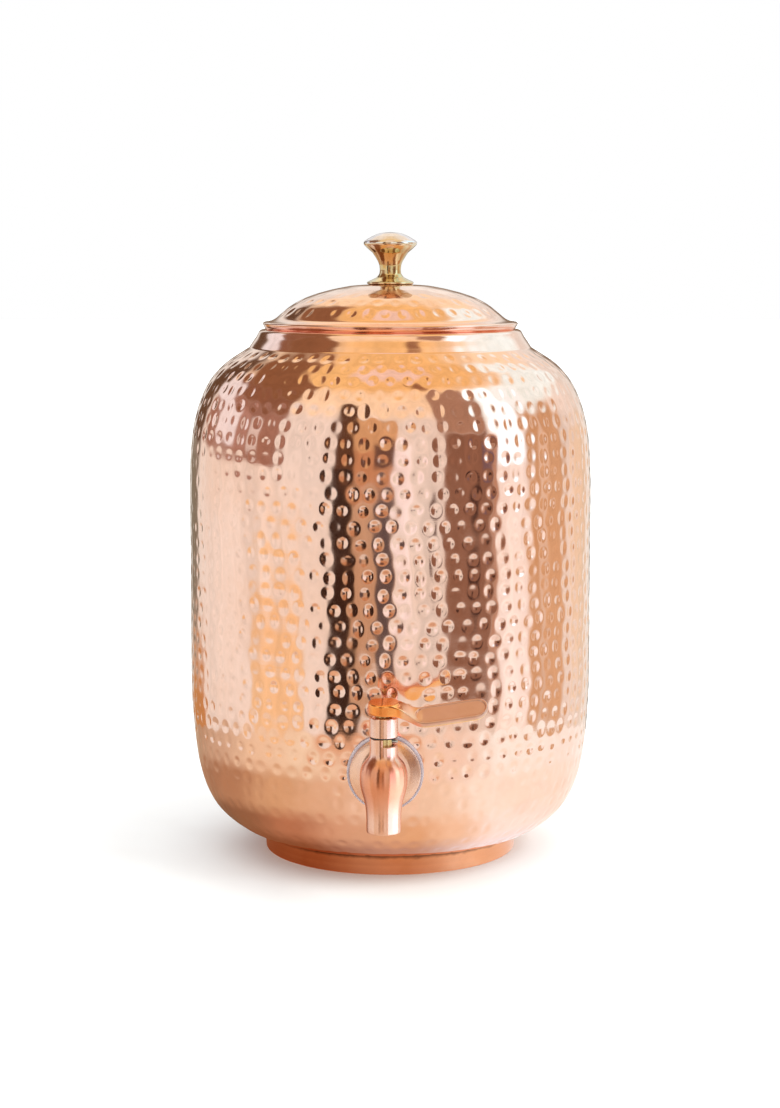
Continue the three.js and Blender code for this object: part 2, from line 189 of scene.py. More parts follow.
def on_pot(c):
    return c + [0, AXIS_Y, 0]


def on_tap(c):
    return c + [0, TAP_Y, 0]


def on_barrel(c):
    """Turned about the barrel: heights become distances from the pot's axis towards the front."""
    return np.c_[c[:, 0], AXIS_Y - c[:, 2], TAP_Z + c[:, 1]]


# ---- solids given by a distance field, for the cast pieces with soft fillets
def soft_min(a, b, k):
    h = np.maximum(k - np.abs(a - b), 0) / k
    return np.minimum(a, b) - h * h * k / 4


def soft_max(a, b, k):
    return -soft_min(-a, -b, k)


def grown(name, field, lo, hi, h, settle=4):
    """The mesh of a field's zero surface: surface nets, then settled on to the surface."""
    lo = np.array(lo, float) + 0.0137
    ax = [np.arange(lo[i], hi[i] + h, h) for i in range(3)]
    dims = tuple(map(len, ax))
    Y, Z = np.meshgrid(ax[1], ax[2], indexing="ij")
    F = np.stack([field(np.full(Y.shape, x), Y, Z) for x in ax[0]]).astype(np.float32)
    s = F < 0
    c = sum(s[a:dims[0] - 1 + a, b:dims[1] - 1 + b, d:dims[2] - 1 + d].astype(np.int8)
            for a, b, d in product((0, 1), repeat=3))
    act = (c > 0) & (c < 8)
    cells = np.argwhere(act)
    idx = np.full(c.shape, -1, np.int64)
    idx[act] = np.arange(len(cells))
    P, cnt = np.zeros((len(cells), 3)), np.zeros(len(cells))
    for axis in range(3):
        unit = np.eye(3, dtype=int)[axis]
        u, v = np.eye(3, dtype=int)[(axis + 1) % 3], np.eye(3, dtype=int)[(axis + 2) % 3]
        for a, b in product((0, 1), repeat=2):
            c0 = cells + a * u + b * v
            c1 = c0 + unit
            f0, f1 = F[tuple(c0.T)], F[tuple(c1.T)]
            m = (f0 < 0) != (f1 < 0)
            t = f0[m] / (f0[m] - f1[m])
            P[m] += c0[m] + t[:, None] * unit
            cnt[m] += 1
    P = P / cnt[:, None] * h + lo
    quads = []
    for axis in range(3):
        unit = np.eye(3, dtype=int)[axis]
        u, v = np.eye(3, dtype=int)[(axis + 1) % 3], np.eye(3, dtype=int)[(axis + 2) % 3]
        s0 = np.take(s, np.arange(dims[axis] - 1), axis)
        s1 = np.take(s, np.arange(1, dims[axis]), axis)
        e = np.argwhere(s0 != s1)
        up = s0[tuple(e.T)]
        q = np.stack([idx[tuple((e - u - v).T)], idx[tuple((e - v).T)],
                      idx[tuple(e.T)], idx[tuple((e - u).T)]], 1)
        q[~up] = q[~up][:, ::-1]
        quads.append(q)
    quads = np.vstack(quads)
    ends = np.vstack([quads[:, [0, 1]], quads[:, [1, 2]], quads[:, [2, 3]], quads[:, [3, 0]]])
    count = np.bincount(ends[:, 0], minlength=len(P)).astype(float)

    def value(p):
        return field(p[:, 0], p[:, 1], p[:, 2])

    e = 0.02
    for step in range(settle):
        g = np.stack([(value(P + d) - value(P - d)) / (2 * e) for d in np.eye(3) * e], 1)
        gg = np.maximum((g * g).sum(1), 0.05)
        if step < settle - 1:
            mean = np.stack([np.bincount(ends[:, 0], P[ends[:, 1], i], len(P)) for i in range(3)], 1)
            pull = mean / count[:, None] - P
            normal = g / np.sqrt(gg)[:, None]
            P = P + 0.6 * (pull - (pull * normal).sum(1)[:, None] * normal)
        move = value(P) / gg
        P = P - np.clip(move, -h, h)[:, None] * g
    return add_mesh(name, P, quads)


def dress(ob, material, body, slot, *nodes):
    ob.data.materials.append(material)
    if nodes:
        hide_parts(*nodes)
    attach(ob, body)
    return ob


# ---------------------------------------------------------------- materials
def srgb(r, g, b):
    return tuple(((c / 255 + 0.055) / 1.055) ** 2.4 if c > 10 else c / 255 / 12.92 for c in (r, g, b))


class Nodes:
    """Short names for building a node tree."""

    def __init__(self, tree):
        self.tree = tree
        tree.nodes.clear()

    def new(self, kind, **sockets):
        node = self.tree.nodes.new(kind)
        for k, v in list(sockets.items()):
            if hasattr(node, k) and k not in node.inputs:
                setattr(node, k, v)
                sockets.pop(k)
        for k, v in sockets.items():
            key = int(k[1:]) if k[0] == "i" and k[1:].isdigit() else k
            if isinstance(v, bpy.types.NodeSocket):
                self.tree.links.new(v, node.inputs[key])
            else:
                node.inputs[key].default_value = v
        return node

    def math(self, op, a, b=0.0, clamp=False):
        return self.new("ShaderNodeMath", operation=op, use_clamp=clamp, i0=a, i1=b).outputs[0]

    def mix(self, factor, a, b):
        node = self.tree.nodes.new("ShaderNodeMix")
        node.data_type = "RGBA"
        for i, v in ((0, factor), (6, a), (7, b)):
            if isinstance(v, bpy.types.NodeSocket):
                self.tree.links.new(v, node.inputs[i])
            else:
                node.inputs[i].default_value = v if i == 0 else (*v[:3], 1.0)
        return node.outputs[2]

    def ramp(self, value, a0, a1, b0=0.0, b1=1.0, smooth=True):
        node = self.new("ShaderNodeMapRange", interpolation_type="SMOOTHSTEP" if smooth else "LINEAR")
        self.tree.links.new(value, node.inputs[0])
        for i, v in ((1, a0), (2, a1), (3, b0), (4, b1)):
            node.inputs[i].default_value = v
        return node.outputs[0]

    def noise(self, vector, scale, detail=3.0, rough=0.5, stretch=(1, 1, 1), move=(0, 0, 0)):
        m = self.new("ShaderNodeMapping", Vector=vector, Scale=stretch, Location=move)
        return self.new("ShaderNodeTexNoise", Vector=m.outputs[0], Scale=scale, Detail=detail,
                        Roughness=rough).outputs[0]


def material(name, **fixed):
    mat = bpy.data.materials.new(name)
    mat.use_nodes = True
    n = Nodes(mat.node_tree)
    shader = n.new("ShaderNodeBsdfPrincipled")
    out = n.new("ShaderNodeOutputMaterial")
    mat.node_tree.links.new(shader.outputs[0], out.inputs[0])
    for k, v in fixed.items():
        shader.inputs[k.replace("_", " ")].default_value = v
    where = n.new("ShaderNodeTexCoord").outputs["Object"]
    return mat, n, shader, where


def link(n, value, shader, socket):
    n.tree.links.new(value, shader.inputs[socket])


def bump(n, shader, height, distance, strength=1.0):
    b = n.new("ShaderNodeBump", Height=height, Distance=distance, Strength=strength)
    link(n, b.outputs[0], shader, "Normal")


def copper(name, light, dark, rough, streak, patches=14.0):
    """Polished copper: warm patches of tarnish, a grain of fine turning marks, soft roughness."""
    mat, n, shader, where = material(name, Metallic=1.0)
    slow = n.noise(where, patches, 4.0, 0.55)
    fine = n.noise(where, 170.0, 3.0, 0.6)
    tone = n.math("ADD", n.math("MULTIPLY", slow, 0.75), n.math("MULTIPLY", fine, 0.25))
    link(n, n.mix(n.ramp(tone, 0.38, 0.66), light, dark), shader, "Base Color")
    link(n, n.ramp(n.noise(where, 38.0, 4.0, 0.6, move=(3, 1, 7)), 0.3, 0.7, rough[0], rough[1]),
         shader, "Roughness")
    lines = n.noise(where, 1.0, 2.0, 0.6, stretch=(14, 14, 900))
    grain = n.noise(where, 900.0, 2.0, 0.5)
    height = n.math("ADD", n.math("MULTIPLY", lines, 0.8), n.math("MULTIPLY", grain, 0.2))
    bump(n, shader, height, streak)
    return mat


hammered = copper("hammered_copper", (0.955, 0.640, 0.540), (0.93, 0.585, 0.465), (0.075, 0.13), 7e-6)
neck_copper = copper("spun_copper", (0.955, 0.640, 0.540), (0.93, 0.585, 0.465), (0.10, 0.17), 8e-6)
lining = copper("copper_lining", (0.92, 0.60, 0.47), (0.84, 0.49, 0.35), (0.20, 0.34), 1.2e-5, 20.0)


def plated_copper(name, light, dark, rough, lines, bulb=None):
    """Satin copper plate over a casting: a brushed, slightly grainy skin, deeper in tone on the bulb as painted
    shade.
    """
    mat, n, shader, where = material(name, Metallic=1.0, Anisotropic=0.97, Anisotropic_Rotation=0.25)
    tone = n.noise(where, 60.0, 4.0, 0.6)
    base = n.mix(n.ramp(tone, 0.3, 0.7), light, dark)
    if bulb:
        # painted shade: the casting's colour darkens over the bulb, between the spout and the neck
        level = n.new("ShaderNodeSeparateXYZ", Vector=where).outputs[2]
        deep = n.math("MULTIPLY", n.ramp(level, 0.043, 0.060), n.math("SUBTRACT", 1.0, n.ramp(level, 0.069, 0.0745)))
        base = n.mix(deep, base, bulb)
    link(n, base, shader, "Base Color")
    link(n, n.ramp(n.noise(where, 240.0, 3.0, 0.6, move=(5, 2, 1)), 0.3, 0.7, *rough), shader,
         "Roughness")
    link(n, n.new("ShaderNodeTangent", direction_type="RADIAL", axis="Z").outputs[0], shader, "Tangent")
    turned = n.noise(where, 1.0, 2.0, 0.6, stretch=(40, 40, 3600))
    grain = n.noise(where, 1600.0, 3.0, 0.6)
    height = n.math("ADD", n.math("MULTIPLY", turned, 0.85), n.math("MULTIPLY", grain, 0.15))
    bump(n, shader, height, lines)
    return mat


def brass_turned(name, light, dark, rough, lines=1.0e-5):
    mat, n, shader, where = material(name, Metallic=1.0)
    tone = n.noise(where, 90.0, 3.0, 0.5)
    link(n, n.mix(n.ramp(tone, 0.3, 0.7), light, dark), shader, "Base Color")
    link(n, n.ramp(n.noise(where, 300.0, 2.0, 0.5, move=(1, 4, 2)), 0.3, 0.7, rough[0], rough[1]),
         shader, "Roughness")
    rings = n.noise(where, 1.0, 2.0, 0.7, stretch=(25, 25, 2600))
    bump(n, shader, rings, lines)
    return mat


def steel_plain():
    mat, n, shader, where = material("steel", Metallic=1.0)
    tone = n.noise(where, 120.0, 3.0, 0.6)
    link(n, n.mix(tone, (0.66, 0.65, 0.63), (0.50, 0.49, 0.48)), shader, "Base Color")
    link(n, n.ramp(n.noise(where, 500.0, 3.0, 0.6), 0.3, 0.7, 0.24, 0.40), shader, "Roughness")
    bump(n, shader, n.noise(where, 1800.0, 3.0, 0.6), 1.0e-5)
    return mat


def silicone_milky():
    mat, n, shader, where = material("silicone", Metallic=0.0, Subsurface_Weight=0.35,
                                     Subsurface_Radius=(0.004, 0.004, 0.0045), Subsurface_Scale=1.0,
                                     Transmission_Weight=0.25, IOR=1.41)
    tone = n.noise(where, 110.0, 3.0, 0.5)
    link(n, n.mix(n.ramp(tone, 0.3, 0.7), srgb(206, 193, 197), srgb(184, 167, 171)), shader, "Base Color")
    link(n, n.ramp(n.noise(where, 400.0, 3.0, 0.6), 0.3, 0.7, 0.28, 0.44), shader, "Roughness")
    bump(n, shader, n.noise(where, 900.0, 3.0, 0.6), 1.5e-5)
    return mat


def rubber_black():
    mat, n, shader, where = material("black_rubber", Metallic=0.0)
    tone = n.noise(where, 400.0, 4.0, 0.6)
    link(n, n.mix(tone, (0.016, 0.015, 0.014), (0.04, 0.038, 0.036)), shader, "Base Color")
    link(n, n.ramp(n.noise(where, 900.0, 3.0, 0.6), 0.3, 0.7, 0.5, 0.75), shader, "Roughness")
    bump(n, shader, n.noise(where, 1500.0, 3.0, 0.6), 2.0e-5)
    return mat


plated = plated_copper("copper_plated", (0.95, 0.63, 0.52), (0.90, 0.55, 0.43), (0.24, 0.31), 3.0e-6)
cast_plated = plated_copper("copper_plated_casting", (0.88, 0.53, 0.41), (0.82, 0.46, 0.34), (0.20, 0.25), 1.5e-6,
                            (0.77, 0.32, 0.19))
brass = brass_turned("brass", (0.80, 0.60, 0.30), (0.70, 0.49, 0.22), (0.16, 0.28))
steel = steel_plain()
silicone = silicone_milky()
rubber = rubber_black()


def knob_metal():
    """The knob's brass: pale and bright on the cap and the foot, browner in the neck; the cap's pale bluish top is a
    painted highlight and the brown neck is painted shade.
    """
    mat, n, shader, where = material("knob_brass", Metallic=1.0)
    height = n.new("ShaderNodeSeparateXYZ", Vector=where).outputs[2]
    height = n.math("ADD", height, n.math("MULTIPLY", n.noise(where, 140.0, 3.0, 0.6), 0.0016))
    tone = n.ramp(n.noise(where, 90.0, 3.0, 0.5), 0.3, 0.7)
    # painted shade: browner between the foot and the cap's rim
    neck = n.math("MULTIPLY", n.ramp(height, 0.2905, 0.2945), n.math("SUBTRACT", 1.0, n.ramp(height, 0.3060, 0.3095)))
    # painted highlight: the cap's top paler and bluish
    cap = n.ramp(height, 0.3095, 0.3120)
    pale = n.mix(cap, n.mix(tone, (0.87, 0.78, 0.60), (0.72, 0.56, 0.33)), (0.82, 0.74, 0.82))
    link(n, n.mix(neck, pale, n.mix(tone, (0.70, 0.50, 0.26), (0.48, 0.31, 0.13))), shader, "Base Color")
    link(n, n.ramp(n.noise(where, 300.0, 2.0, 0.5, move=(1, 4, 2)), 0.3, 0.7, 0.07, 0.13), shader, "Roughness")
    bump(n, shader, n.noise(where, 1.0, 2.0, 0.7, stretch=(25, 25, 2600)), 4.0e-6)
    return mat


knob_brass = knob_metal()


def foot_copper():
    """The foot's copper darkens towards the solder joint under the pot."""
    mat, n, shader, where = material("foot_copper", Metallic=1.0)
    slow = n.noise(where, 26.0, 4.0, 0.6)
    base = n.mix(n.ramp(slow, 0.35, 0.68), (0.93, 0.46, 0.26), (0.85, 0.36, 0.17))
    height = n.new("ShaderNodeSeparateXYZ", Vector=where).outputs[2]
    ragged = n.math("ADD", height, n.math("MULTIPLY", n.noise(where, 160.0, 3.0, 0.6), 0.0024))
    joint = n.ramp(ragged, 0.0086, 0.0108)
    link(n, n.mix(joint, base, (0.30, 0.13, 0.07)), shader, "Base Color")
    link(n, n.ramp(n.noise(where, 60.0, 4.0, 0.6, move=(2, 1, 5)), 0.3, 0.7, 0.14, 0.26), shader,
         "Roughness")
    bump(n, shader, n.noise(where, 1.0, 2.0, 0.6, stretch=(20, 20, 1200)), 1.0e-5)
    return mat


foot_look = foot_copper()


def lever_copper():
    """The lever's plating: orange and bright at the boss and at the back, rosy on the paddle, whose darker front face
    is a painted reflection.
    """
    mat, n, shader, where = material("copper_plated_lever", Metallic=1.0)
    part = n.new("ShaderNodeSeparateXYZ", Vector=where)
    tone = n.ramp(n.noise(where, 90.0, 4.0, 0.6), 0.3, 0.7)
    back = n.ramp(part.outputs[0], 0.0070, 0.0100)
    bright = n.mix(n.math("MULTIPLY", tone, n.math("SUBTRACT", 1.0, back)),
                   n.mix(back, (0.97, 0.41, 0.13), (0.99, 0.66, 0.26)), (0.94, 0.31, 0.08))
    # the side of the boss that faces the pot is plain
    rear = n.math("MULTIPLY", n.ramp(part.outputs[1], TAP_Y * 0.001 + 0.0030, TAP_Y * 0.001 + 0.0058),
                  n.math("SUBTRACT", 1.0, back))
    bright = n.mix(rear, bright, (0.93, 0.62, 0.46))
    # how far a point stands out of the paddle's middle plane
    side = n.math("SUBTRACT", n.math("MULTIPLY", n.math("SUBTRACT", part.outputs[2], 0.0914), math.sin(LEAN)),
                  n.math("MULTIPLY", n.math("SUBTRACT", part.outputs[1], TAP_Y * 0.001), math.cos(LEAN)))
    side = n.math("SUBTRACT", side, n.math("MULTIPLY", n.math("SUBTRACT", part.outputs[0], 0.017), RISE * math.sin(LEAN)))
    # painted reflection: the paddle's front face and sunk panel are coloured darker and rosier than its edges
    panel = n.math("MULTIPLY", n.ramp(side, -0.0004, 0.0010), n.ramp(part.outputs[0], 0.0172, 0.0186))
    paddle_painted_reflection = n.mix(tone, n.mix(panel, (0.90, 0.62, 0.50), (0.72, 0.44, 0.38)), (0.70, 0.42, 0.34))
    paddle_painted_reflection = n.mix(n.ramp(part.outputs[0], 0.0130, 0.0185), (0.92, 0.52, 0.34), paddle_painted_reflection)
    face = n.math("MULTIPLY", n.ramp(side, -0.0012, -0.0002), n.ramp(part.outputs[0], 0.0066, 0.0100))
    link(n, n.mix(face, bright, paddle_painted_reflection), shader, "Base Color")
    rough = n.ramp(n.noise(where, 240.0, 3.0, 0.6, move=(5, 2, 1)), 0.3, 0.7, 0.14, 0.24)
    link(n, n.math("ADD", rough, n.math("MULTIPLY", face, 0.14)), shader, "Roughness")
    bump(n, shader, n.noise(where, 1200.0, 3.0, 0.6), 4.0e-6)
    return mat


# ---------------------------------------------------------------- the pot
AROUND = 864
STEP = 0.68
HALF = AROUND // 2


def dimples(theta, r, s, n_pts, profile_r, marks, shape):
    """Depth of the hammer marks on a grid of rings (arc length s) by n_pts angles; theta is not used."""
    n = n_pts
    depth = np.zeros((len(s), n))
    dth = 2 * math.pi / n
    for s0, a0, r0, R, d, e in marks:
        reach = 2.9 * R
        j0, j1 = np.searchsorted(s, [s0 - reach, s0 + reach])
        if j1 <= j0:
            continue
        half = int(reach / (r0 * dth)) + 1
        centre = int(round(a0 / dth))
        cols = np.arange(centre - half, centre + half + 1)
        across = (cols * dth - a0) * r0
        rho2 = ((s[j0:j1, None] - s0) ** 2 * (1 + e) + across[None, :] ** 2 * (1 - e)) / (R * R)
        depth[j0:j1, cols % n] += shape(rho2, d)
    return depth


def crisp(rho2, d):
    """A ball peen's mark: a bowl with a quick edge and a slight slump of the sheet round it."""
    return d * np.logaddexp(0, 5 * (1 - rho2)) / 5 + 0.3 * d * np.exp(-rho2 / 2.4)


def slack(rho2, d):
    """The same mark seen on the sheet's other side."""
    return 0.9 * d * np.exp(-rho2 / 0.8)


def normals_of(p):
    t = np.gradient(p, axis=0)
    t /= np.maximum(np.linalg.norm(t, axis=1), 1e-9)[:, None]
    return np.c_[t[:, 1], -t[:, 0]]  # to the right of the way along


def marks_on(s_of_row, r_of_row, z_of_row, pitch, size, deep, fade, jitter=0.85):
    marks = []
    for s0, r0, z0 in zip(s_of_row, r_of_row, z_of_row):
        n = int(round(2 * math.pi * r0 / pitch))
        start = rng.uniform(0, 2 * math.pi)
        for i in range(n):
            a = (start + 2 * math.pi * i / n + rng.normal(0, jitter * 0.62) / r0) % (2 * math.pi)
            R = size / 2 * rng.normal(1, 0.07)
            d = deep * fade(z0, a) * np.clip(rng.normal(1, 0.26), 0.45, 1.7)
            marks.append((s0 + rng.normal(0, 0.34), a, r0, R, d, rng.normal(-0.15, 0.14)))
    return marks


def waves(s, n, amount):
    """The sheet's slight unevenness between the marks."""
    a = 2 * math.pi * np.arange(n) / n
    out = np.zeros((len(s), n))
    for wave, turns in ((71, 3), (53, 5), (41, 8), (33, 7), (27, 13), (22, 17), (19, 23)):
        out += np.sin(2 * math.pi * s[:, None] / wave + turns * a[None, :] + rng.uniform(0, 6.28)) * (
            np.cos(2 * math.pi * s[:, None] / (wave * 2.7) + rng.uniform(0, 6.28)))
    for wave, turns in ((12.5, 47), (10.2, 61), (8.6, 39), (14.3, 71)):
        out += 0.13 * np.sin(2 * math.pi * s[:, None] / wave + turns * a[None, :] + rng.uniform(0, 6.28)) * (
            np.cos(2 * math.pi * s[:, None] / (wave * 4.1) - 5 * a[None, :] + rng.uniform(0, 6.28)))
    return amount * (out / 3.0)


def pot_mesh():
    wall = faired([(62.5, 9.5)] + WALL, 4.0, STEP)
    curl = arc(MOUTH_R, MOUTH_Z, CURL_R, 12, 240, 34)
    neck = faired(np.vstack([NECK, curl]), 0.45, 0.42)
    outer = np.vstack([wall, neck[1:]])
    s_out = np.r_[0, np.cumsum(np.hypot(*np.diff(outer, axis=0).T))]
    s_wall = s_out[len(wall) - 1]
    # rows of marks from just under the crease down to the foot
    first, pitch = s_wall - 5.4, 7.9
    rows = np.arange(first, 6.0, -pitch)
    r_rows = np.interp(rows, s_out[:len(wall)], wall[:, 0])
    z_rows = np.interp(rows, s_out[:len(wall)], wall[:, 1])

    def fade(z, a):
        # the hammering is lighter over the base curve, and on the wall's left flank
        f = float(np.interp(z, [9, 14, 25, 40, 52, 60, 78, 92], [1.1, 0.95, 0.8, 0.8, 0.9, 1.35, 1.3, 1.0]))
        side = (math.degrees(a) + 90 + 180) % 360 - 180  # 0 at the front, positive to the right
        flank = np.interp(side, [-120, -95, -72, -24, -14, 13, 18, 30, 38, 80, 110, 180],
                          [1.0, 0.8, 0.66, 0.62, 1.05, 1.05, 0.95, 0.95, 1.15, 1.15, 1.0, 1.0])
        return f * (flank + (1 - flank) * float(np.clip((z - 196) / 26, 0, 1)))

    marks = marks_on(rows, r_rows, z_rows, 8.7, 5.15, 0.25, fade)
    # a chain of small close marks along the foot's joint
    s_foot = float(np.interp(69.6, wall[:30, 0], s_out[:30]))
    marks += marks_on([s_foot], [69.6], [10.2], 4.4, 4.3, 0.36, lambda z, a: 1.0, 0.4)
    theta = 2 * math.pi * np.arange(AROUND) / AROUND
    depth = dimples(theta, outer[:, 0], s_out, AROUND, outer[:, 0], marks, crisp)
    unruly = np.clip((s_wall - s_out) / 12, 0, 1) * np.clip(s_out / 30, 0, 1)
    depth += unruly[:, None] * (0.05 + waves(s_out, AROUND, 0.065))
    nrm = normals_of(outer)
    R = outer[:, :1] - depth * nrm[:, :1]
    Z = outer[:, 1:] - depth * nrm[:, 1:]
    fine = np.stack([R * np.cos(theta), R * np.sin(theta), Z], -1).reshape(-1, 3)

    # the inner side: back through the curl, down the wall and over the bottom
    tuck = arc(MOUTH_R, MOUTH_Z, CURL_IN, 240, -14, 22)
    lin = wall - SHEET * normals_of(wall)
    neck_in = np.array([(71.3, 256.1), (69.5, 258.9), (67.5, 261.9)])
    inner = np.vstack([tuck, faired(np.vstack([neck_in[::-1], lin[::-1][6:]]), 1.2, 1.5)])
    inner = np.vstack([inner, resample([inner[-1], (8, 10.5)], 4.0)[1:]])
    th2 = 2 * math.pi * np.arange(HALF) / HALF
    s_lin = s_out[:len(wall)]
    s_in = np.interp(-inner[:, 1] + 0.2 * (inner[:, 0] < 60) * 60, -lin[::-1, 1], s_lin[::-1])
    order = np.argsort(s_in)
    on_wall = (inner[:, 0] > 66) & (inner[:, 1] < 255)
    depth_in = np.zeros((len(inner), HALF))
    sw = s_in[on_wall][::-1]
    depth_in[on_wall] = dimples(th2, None, sw, HALF, None, marks, slack)[::-1]
    nin = normals_of(inner)
    Ri = inner[:, :1] + depth_in * nin[:, :1]
    Zi = inner[:, 1:] + depth_in * nin[:, 1:]
    coarse = np.stack([Ri * np.cos(th2), Ri * np.sin(th2), Zi], -1).reshape(-1, 3)

    # the flat under the foot
    under = np.array([(8, 9.5), (20, 9.5), (34, 9.5), (48, 9.5), (58, 9.5), (61, 9.5)])
    flat = np.stack([under[:, :1] * np.cos(th2), under[:, :1] * np.sin(th2),
                     np.repeat(under[:, 1:], HALF, 1)], -1).reshape(-1, 3)
    co = np.vstack([fine, coarse, flat, [[0, 0, 10.5], [0, 0, 9.5]]])
    c0, f0 = len(fine), len(fine) + len(coarse)
    top, low = len(co) - 2, len(co) - 1
    n_out, n_in, n_un = len(outer), len(inner), len(under)
    length = s_out[-1] + np.hypot(*np.diff(inner, axis=0).T).sum() + 66 + 8
    v_out = (66 + s_out) / length
    v_in = (66 + s_out[-1] + np.r_[0, np.cumsum(np.hypot(*np.diff(inner, axis=0).T))]) / length
    v_un = under[:, 0] / length
    quads, uv, tris, tuv = [], [], [], []
    for j in range(n_out - 1):
        quads.append(ring_quads(j * AROUND, (j + 1) * AROUND, AROUND))
        uv.append(ring_uv(v_out[j], v_out[j + 1], AROUND))
    for j in range(n_in - 1):
        quads.append(ring_quads(c0 + j * HALF, c0 + (j + 1) * HALF, HALF))
        uv.append(ring_uv(v_in[j], v_in[j + 1], HALF))
    for j in range(n_un - 1):
        quads.append(ring_quads(f0 + j * HALF, f0 + (j + 1) * HALF, HALF))
        uv.append(ring_uv(v_un[j], v_un[j + 1], HALF))

    def stitch(fine0, coarse0, fine_first, vf, vc):
        i = np.arange(HALF)
        k = (i + 1) % HALF
        a, b, c = fine0 + 2 * i, fine0 + 2 * i + 1, fine0 + (2 * i + 2) % AROUND
        p, q = coarse0 + i, coarse0 + k
        ua, ub, uc = i / HALF, (i + .5) / HALF, (i + 1) / HALF
        for t, u, v in (((a, b, p), (ua, ub, ua), (vf, vf, vc)), ((b, c, q), (ub, uc, uc), (vf, vf, vc)),
                        ((p, b, q), (ua, ub, uc), (vc, vf, vc))):
            t3 = np.c_[t[0], t[1], t[2]]
            uv3 = np.stack([np.c_[u[m], np.full(HALF, v[m])] for m in range(3)], 1)
            if not fine_first:
                t3, uv3 = t3[:, ::-1], uv3[:, ::-1]
            tris.append(t3)
            tuv.append(uv3.reshape(-1, 2))

    stitch((n_out - 1) * AROUND, c0, True, v_out[-1], v_in[0])
    stitch(0, f0 + (n_un - 1) * HALF, False, v_out[0], v_un[-1])
    i = np.arange(HALF)
    k = (i + 1) % HALF
    b = c0 + (n_in - 1) * HALF
    tris.append(np.c_[np.full(HALF, top), b + i, b + k])
    tuv.append(np.stack([np.c_[(i + .5) / HALF, np.full(HALF, 1.)], np.c_[i / HALF, np.full(HALF, v_in[-1])],
                         np.c_[(i + 1) / HALF, np.full(HALF, v_in[-1])]], 1).reshape(-1, 2))
    tris.append(np.c_[np.full(HALF, low), f0 + k, f0 + i])
    tuv.append(np.stack([np.c_[(i + .5) / HALF, np.full(HALF, 0.)], np.c_[(i + 1) / HALF, np.full(HALF, v_un[0])],
                         np.c_[i / HALF, np.full(HALF, v_un[0])]], 1).reshape(-1, 2))
    ob = add_mesh("hammered_pot", on_pot(co), np.vstack(quads), np.vstack(tris), np.vstack(uv + tuv))
    # the inside of the pot has the satin lining
    n_q = (n_out - 1) * AROUND
    which = np.zeros(len(ob.data.polygons), np.int32)
    which[n_q:n_q + (n_in - 1) * HALF] = 1
    return ob, which, wall


pot, inside_faces, wall_line = pot_mesh()
dress(pot, hammered, "vessel", "hammered_copper", "vessel_base", "vessel_wall", "vessel_shoulder")
pot.data.materials.append(lining)
if len(inside_faces) == len(pot.data.polygons):
    pot.data.polygons.foreach_set("material_index", inside_faces)

foot = lathe("foot_band", eased([
    (FOOT_R, 0), (FOOT_R + 0.3, 4.5), (FOOT_R + 1.2, 9.0), (FOOT_R + 1.5, 9.8), (FOOT_R + 0.1, 9.8),
    (FOOT_R - 0.9, 4.5), (FOOT_R - 1.2, 1.3), (FOOT_R - 6, 1.3), (FOOT_R - 6, 0),
], 0.45, 0.8), 288, on_pot)
dress(foot, foot_look, "vessel", "polished_copper", "foot_ring")

# ---------------------------------------------------------------- the lid
LID = [
    (2.9, 288.6), (12, 288.55), (20, 288.0), (29.6, 286.2), (38.1, 283.9), (44, 281.7), (48.3, 279.5),
    (52.4, 276.8), (55.5, 274.2), (57.6, 272.2), (59.2, 270.8), (61.2, 270.0), (64.6, 269.5),
]
UNDER = [
    (2.9, 287.6), (12, 287.55), (19.9, 287.0), (29.4, 285.2), (37.7, 282.9), (47.7, 278.6),
    (51.7, 275.9), (54.7, 273.5), (56.8, 271.6), (58.4, 270.2), (60.9, 269.1), (63.7, 268.5),
]


def lid_mesh():
    n = 576
    top = faired(LID[::-1], 1.3, 0.55)          # from the rim to the middle
    tip = eased([(63.9, 268.0), (61.0, 262.6), (61.95, 262.6), (65.1, 268.1), (65.45, 268.85),
                 (64.6, 269.5)], 0.45, 0.35, closed=False)[1:]
    under = faired(UNDER, 1.3, 1.1)
    outline = np.vstack([under, tip[:-1], top])
    s = np.r_[0, np.cumsum(np.hypot(*np.diff(outline, axis=0).T))]
    k = len(outline) - len(top)
    s_top = s[k:] - s[k]
    marks = []
    for ring_r, deep in ((54.3, 0.27), (46.6, 0.21), (38.6, 0.12), (31.0, 0.06)):
        s0 = float(np.interp(-ring_r, -top[:, 0], s_top))
        z0 = float(np.interp(s0, s_top, top[:, 1]))
        marks += marks_on([s0], [ring_r], [z0], 8.7, 5.6, deep, lambda z, a: 1.0, 0.8)
    depth = np.zeros((len(outline), n))
    depth[k:] = dimples(None, None, s_top, n, None, marks, crisp)
    ease = np.clip((s_top - 6) / 6, 0, 1) * np.clip((58 - s_top) / 14, 0, 1)
    depth[k:] += ease[:, None] * (0.03 + waves(s_top, n, 0.03))
    nrm = normals_of(outline)
    th = 2 * math.pi * np.arange(n) / n
    R, Z = outline[:, :1] - depth * nrm[:, :1], outline[:, 1:] - depth * nrm[:, 1:]
    co = np.stack([R * np.cos(th), R * np.sin(th), Z], -1).reshape(-1, 3)
    m = len(outline)
    length = s[-1] + np.hypot(*(outline[0] - outline[-1]))
    quads, uv = [], []
    for j in range(m):
        quads.append(ring_quads(j * n, ((j + 1) % m) * n, n))
        uv.append(ring_uv(s[j] / length, (s[j + 1] if j < m - 1 else length) / length, n))
    return add_mesh("hammered_lid", on_pot(co), np.vstack(quads), (), np.vstack(uv))


lid = lid_mesh()
dress(lid, hammered, "lid", "hammered_copper", "lid_dome", "lid_rim")
skirt = lathe("lid_locating_ring", eased(
    [(59.6, 252.0), (60.5, 252.0), (60.5, 268.9), (59.6, 268.9)], 0.3, 1.0), 288, on_pot)
dress(skirt, lining, "lid", "copper_lining", "lid_skirt")

